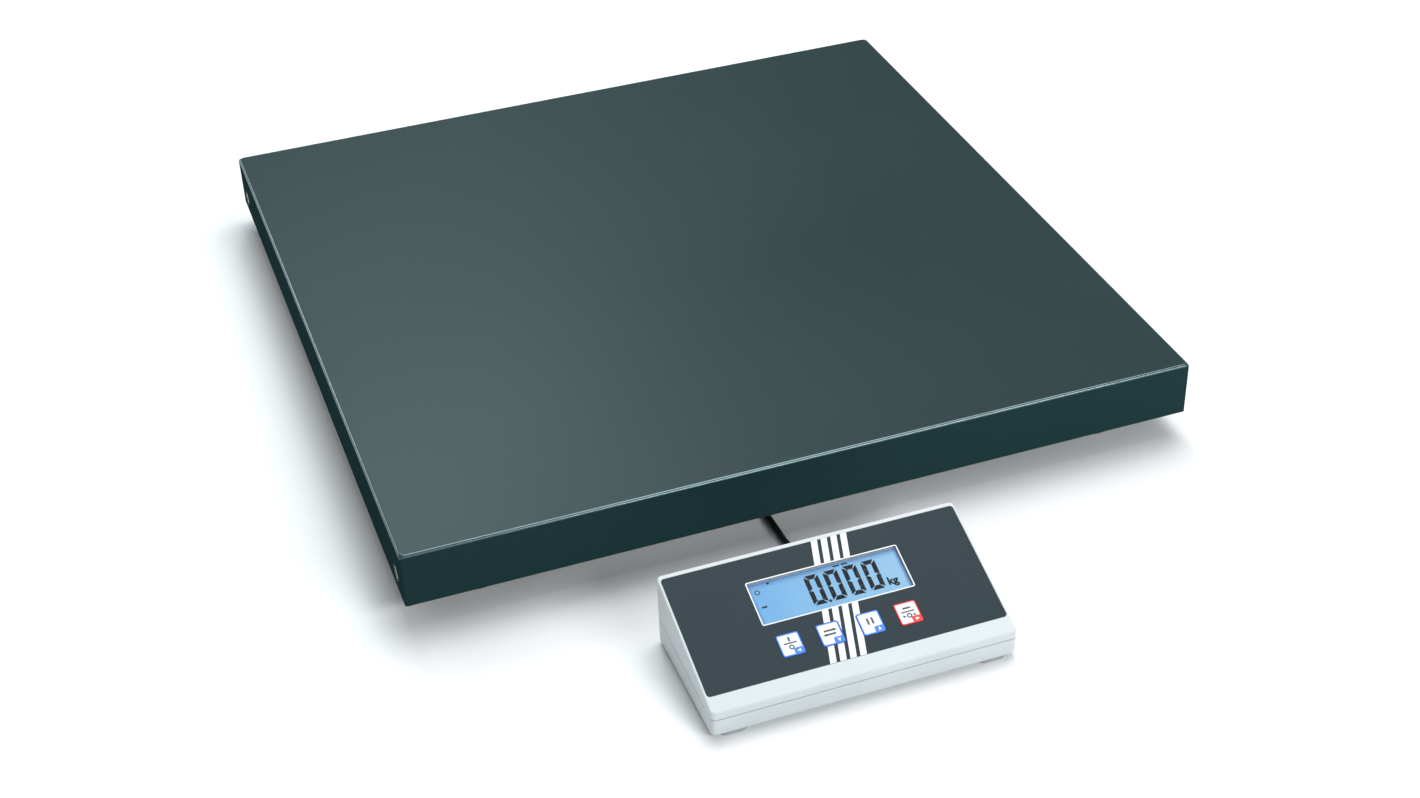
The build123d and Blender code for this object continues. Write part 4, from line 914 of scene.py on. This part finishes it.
def make_key(name, frame_ink, tab_turn):
    """An embossed key: a coloured rim round a white pillow, printed marks and a coloured tab."""
    low, high = face_box(name)
    size = high - low
    x, y = middle(low, high)
    top = high.z
    bm = bmesh.new()
    dome_pocket = (10.8 * mm, 10.8 * mm, 5.0 * mm, (x, y))
    pocket_depth = 0.37 * mm
    rings = [face_ring(*dome_pocket, low.z + pocket_depth), face_ring(*dome_pocket, low.z)]
    rim = ((0.1, low.z, 1.5), (0.0, low.z + 0.1 * mm, 1.5), (0.0, top - 0.3 * mm, 1.5),
           (0.05, top - 0.12 * mm, 1.5), (0.2, top - 0.02 * mm, 1.4), (0.4, top, 1.3), (0.95, top, 0.9),
           (0.95, top - 0.25 * mm, 0.9))
    for inset, height, corner in rim:
        rings.append(inner_ring(size, inset * mm, corner * mm, (x, y), height))
    skin(bm, rings)
    pillow = []
    for inset, height in ((0.95, top - 0.3 * mm), (0.95, top - 0.02 * mm), (1.1, top - 0.1 * mm),
                          (1.5, top - 0.09 * mm), (3.5, top - 0.03 * mm), (6.0, top - 0.02 * mm)):
        corner = max(0.9 * mm - (inset - 0.95) * 0.1 * mm, 0.4 * mm)
        pillow.append(inner_ring(size, inset * mm, corner, (x, y), height))
    skin(bm, pillow, index=1)
    ink_low, ink_high = top - 0.2 * mm, top + 0.03 * mm
    tab_size = (6.2 * mm, 4.4 * mm)
    tab_centre = (x + size.x / 2 - 0.4 * mm - tab_size[0] / 2, y - size.y / 2 + 0.4 * mm + tab_size[1] / 2)
    add_plate(bm, [rounded_rectangle(*tab_size, 1.0 * mm, tab_centre)], ink_low, ink_high, face_place, 0)
    for outlines in key_legend(name, x, y):
        add_plate(bm, outlines, ink_low, ink_high, face_place, 2)
    add_plate(bm, [arrow(tab_centre, 2.6 * mm, tab_turn)], ink_low, ink_high + 0.03 * mm, face_place, 1)
    make_piece("face_" + name, bm, name, frame_ink, materials["key_film"], dark_ink, replaces=[name],
               slot="key_film")


make_upper_housing()
make_overlay()
make_lcd()
make_window()
for key_name, key_look in key_looks.items():
    make_key(key_name, *key_look)


# ==== batteries
cell_count = 6
cell_pitch = 14.7 * mm


def make_batteries():
    """Six AA cells, each with a dark sleeve, a metallic band, steel ends and its button."""
    bm = bmesh.new()
    low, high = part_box("batteries")
    contact_low, contact_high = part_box("battery_contacts")
    radius = (high.z - low.z) / 2
    first_x = low.x + radius
    spring_length = 6.5 * mm
    body_length = 49.5 * mm
    for index in range(cell_count):
        x = first_x + index * cell_pitch
        if index % 2:
            start, direction = Vector((x, contact_high.y - spring_length, low.z + radius)), (0, -1, 0)
        else:
            start, direction = Vector((x, contact_low.y + spring_length, low.z + radius)), (0, 1, 0)
        can = [(0.0, radius - 1.6 * mm), (0.0, radius - 0.9 * mm), (0.3 * mm, radius - 0.4 * mm),
               (0.9 * mm, radius - 0.1 * mm)]
        label = [(1.0 * mm, radius), (35.0 * mm, radius), (48.6 * mm, radius), (48.9 * mm, radius - 0.3 * mm)]
        cap = [(body_length, radius - 1.0 * mm), (body_length, 2.9 * mm),
               (body_length + 0.3 * mm, 2.7 * mm), (body_length + 1.2 * mm, 2.6 * mm),
               (body_length + 1.5 * mm, 2.2 * mm)]
        faces = turned(bm, can + label + cap, start, direction, 40)
        centre = start + Vector(direction) * 10 * mm
        for face in faces:
            along = (face.calc_center_median() - start).dot(Vector(direction))
            outside = (face.calc_center_median() - centre).cross(Vector(direction)).length > radius * 0.9
            if outside and 0.9 * mm < along < 34.9 * mm:
                face.material_index = 1
            elif outside and 35.0 * mm < along < 48.8 * mm:
                face.material_index = 2
    make_piece("cells", bm, "scale", materials["bright_steel"], materials["battery_can"], copper_band,
               replaces=["batteries"], slot="battery_can")


def make_battery_contacts():
    """Spring-steel plates at both ends of each cell, with a conical coil spring at one end."""
    bm = bmesh.new()
    low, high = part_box("battery_contacts")
    cells_low, cells_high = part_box("batteries")
    radius = (cells_high.z - cells_low.z) / 2
    middle_z = cells_low.z + radius
    plate = 0.5 * mm
    wire = 0.35 * mm
    spring_length = 6.0 * mm
    for index in range(cell_count):
        x = cells_low.x + radius + index * cell_pitch
        for y, height in ((low.y, 10.0), (high.y - plate, 8.0)):
            place = (Matrix.Translation((x, y + plate, high.z - height / 2 * mm))
                     @ Matrix.Rotation(pi / 2, 4, "X"))
            add_plate(bm, [rounded_rectangle(10 * mm, height * mm, 0.8 * mm)], 0, plate, place)
        base, direction = (high.y - plate, -1) if index % 2 else (low.y + plate, 1)
        add_spring(bm, Vector((x, base, middle_z)), direction, spring_length, 4.0 * mm, 2.5 * mm, wire)
    make_piece("contacts", bm, "scale", materials["bright_steel"], replaces=["battery_contacts"],
               slot="bright_steel")


def add_spring(bm, base, direction, length, wide, narrow, wire, turns=4.5):
    """A conical wire spring that stands on base and runs along Y."""
    steps, sides = int(turns * 20), 6
    rings = []
    for step in range(steps + 1):
        share = step / steps
        angle = 2 * pi * turns * share
        radius = wide + (narrow - wide) * share
        along = direction * (wire + (length - 2 * wire) * share)
        outwards = Vector((cos(angle), 0, sin(angle)))
        centre = base + Vector((radius * outwards.x, along, radius * outwards.z))
        ring = []
        for side in range(sides):
            turn = 2 * pi * side / sides
            ring.append(centre + wire * (cos(turn) * outwards + sin(turn) * Vector((0, 1, 0))))
        rings.append(ring)
    skin(bm, rings)


make_batteries()
make_battery_contacts()


# ==== CAD nodes that stay
def soften(node, width):
    """Gives a CAD node's sharp edges a small round, for the eye only."""
    weld = node.modifiers.new("weld", "WELD")
    weld.merge_threshold = 0.001 * mm
    flat = node.modifiers.new("flat", "DECIMATE")
    flat.decimate_type = "DISSOLVE"
    flat.angle_limit = radians(0.5)
    bevel = node.modifiers.new("bevel", "BEVEL")
    bevel.width = width
    bevel.segments = 2
    bevel.limit_method = "ANGLE"
    bevel.angle_limit = radians(40)
    bevel.use_clamp_overlap = True
    bevel.harden_normals = False


def dress_nodes():
    """Every CAD node that still shows takes the material of its slot."""
    slots = {row["node"]: row["material_slot"] for row in frame["record"]["subparts"]}
    for name, node in nodes.items():
        node.data.materials.clear()
        node.data.materials.append(materials[slots[name]])


dress_nodes()
soften(nodes["lower_housing"], 0.3 * mm)
soften(nodes["battery_door"], 0.15 * mm)


# ==== floor and light
def add_light(name, place, aim, size, power, colour=(1, 1, 1)):
    """A square soft light that looks at a point."""
    light = bpy.data.lights.new(name, "AREA")
    light.shape = "RECTANGLE"
    light.size, light.size_y = size
    light.energy = power
    light.color = colour
    lamp = bpy.data.objects.new(name, light)
    lamp.location = place
    lamp.rotation_euler = (Vector(aim) - Vector(place)).to_track_quat("-Z", "Y").to_euler()
    show(lamp)


def make_floor():
    """A plain pale floor."""
    bm = bmesh.new()
    reach = 6.0
    bm.faces.new([bm.verts.new((x * reach, y * reach, 0)) for x, y in ((-1, -1), (1, -1), (1, 1), (-1, 1))])
    mesh = bpy.data.meshes.new("floor")
    bm.to_mesh(mesh)
    bm.free()
    mesh.materials.append(finish("floor_white", linear(246, 247, 247), linear(250, 250, 250), (0.55, 0.65),
                                 0.5 * mm, 0.01 * mm, patch=0.3))
    floor = bpy.data.objects.new("floor", mesh)
    show(floor)


def light_scene():
    """Dim pale surroundings under a large soft light, with a sheen light behind and a small one in front."""
    world = bpy.data.worlds.new("studio")
    world.use_nodes = True
    background = world.node_tree.nodes["Background"].inputs
    background["Color"].default_value = (0.93, 0.96, 1.0, 1)
    background["Strength"].default_value = 0.35
    bpy.context.scene.world = world
    bpy.context.scene.view_settings.view_transform = "Standard"
    add_light("key_light", (0.6, 0.6, 2.4), (0.1, 0, 0), (1.8, 1.8), 46)
    add_light("sheen_light", (0.1, 2.1, 2.05), (-0.2, -0.1, 0), (0.9, 0.9), 21, (0.76, 0.97, 1.0))
    add_light("front_light", (0.7, -1.8, 1.1), (0.1, -0.2, 0), (1.1, 0.25), 20, (0.95, 0.98, 1.0))
    add_light("left_light", (-1.2, 2.0, 1.0), (-0.2, 0, 0), (0.8, 0.5), 6)


make_floor()
light_scene()
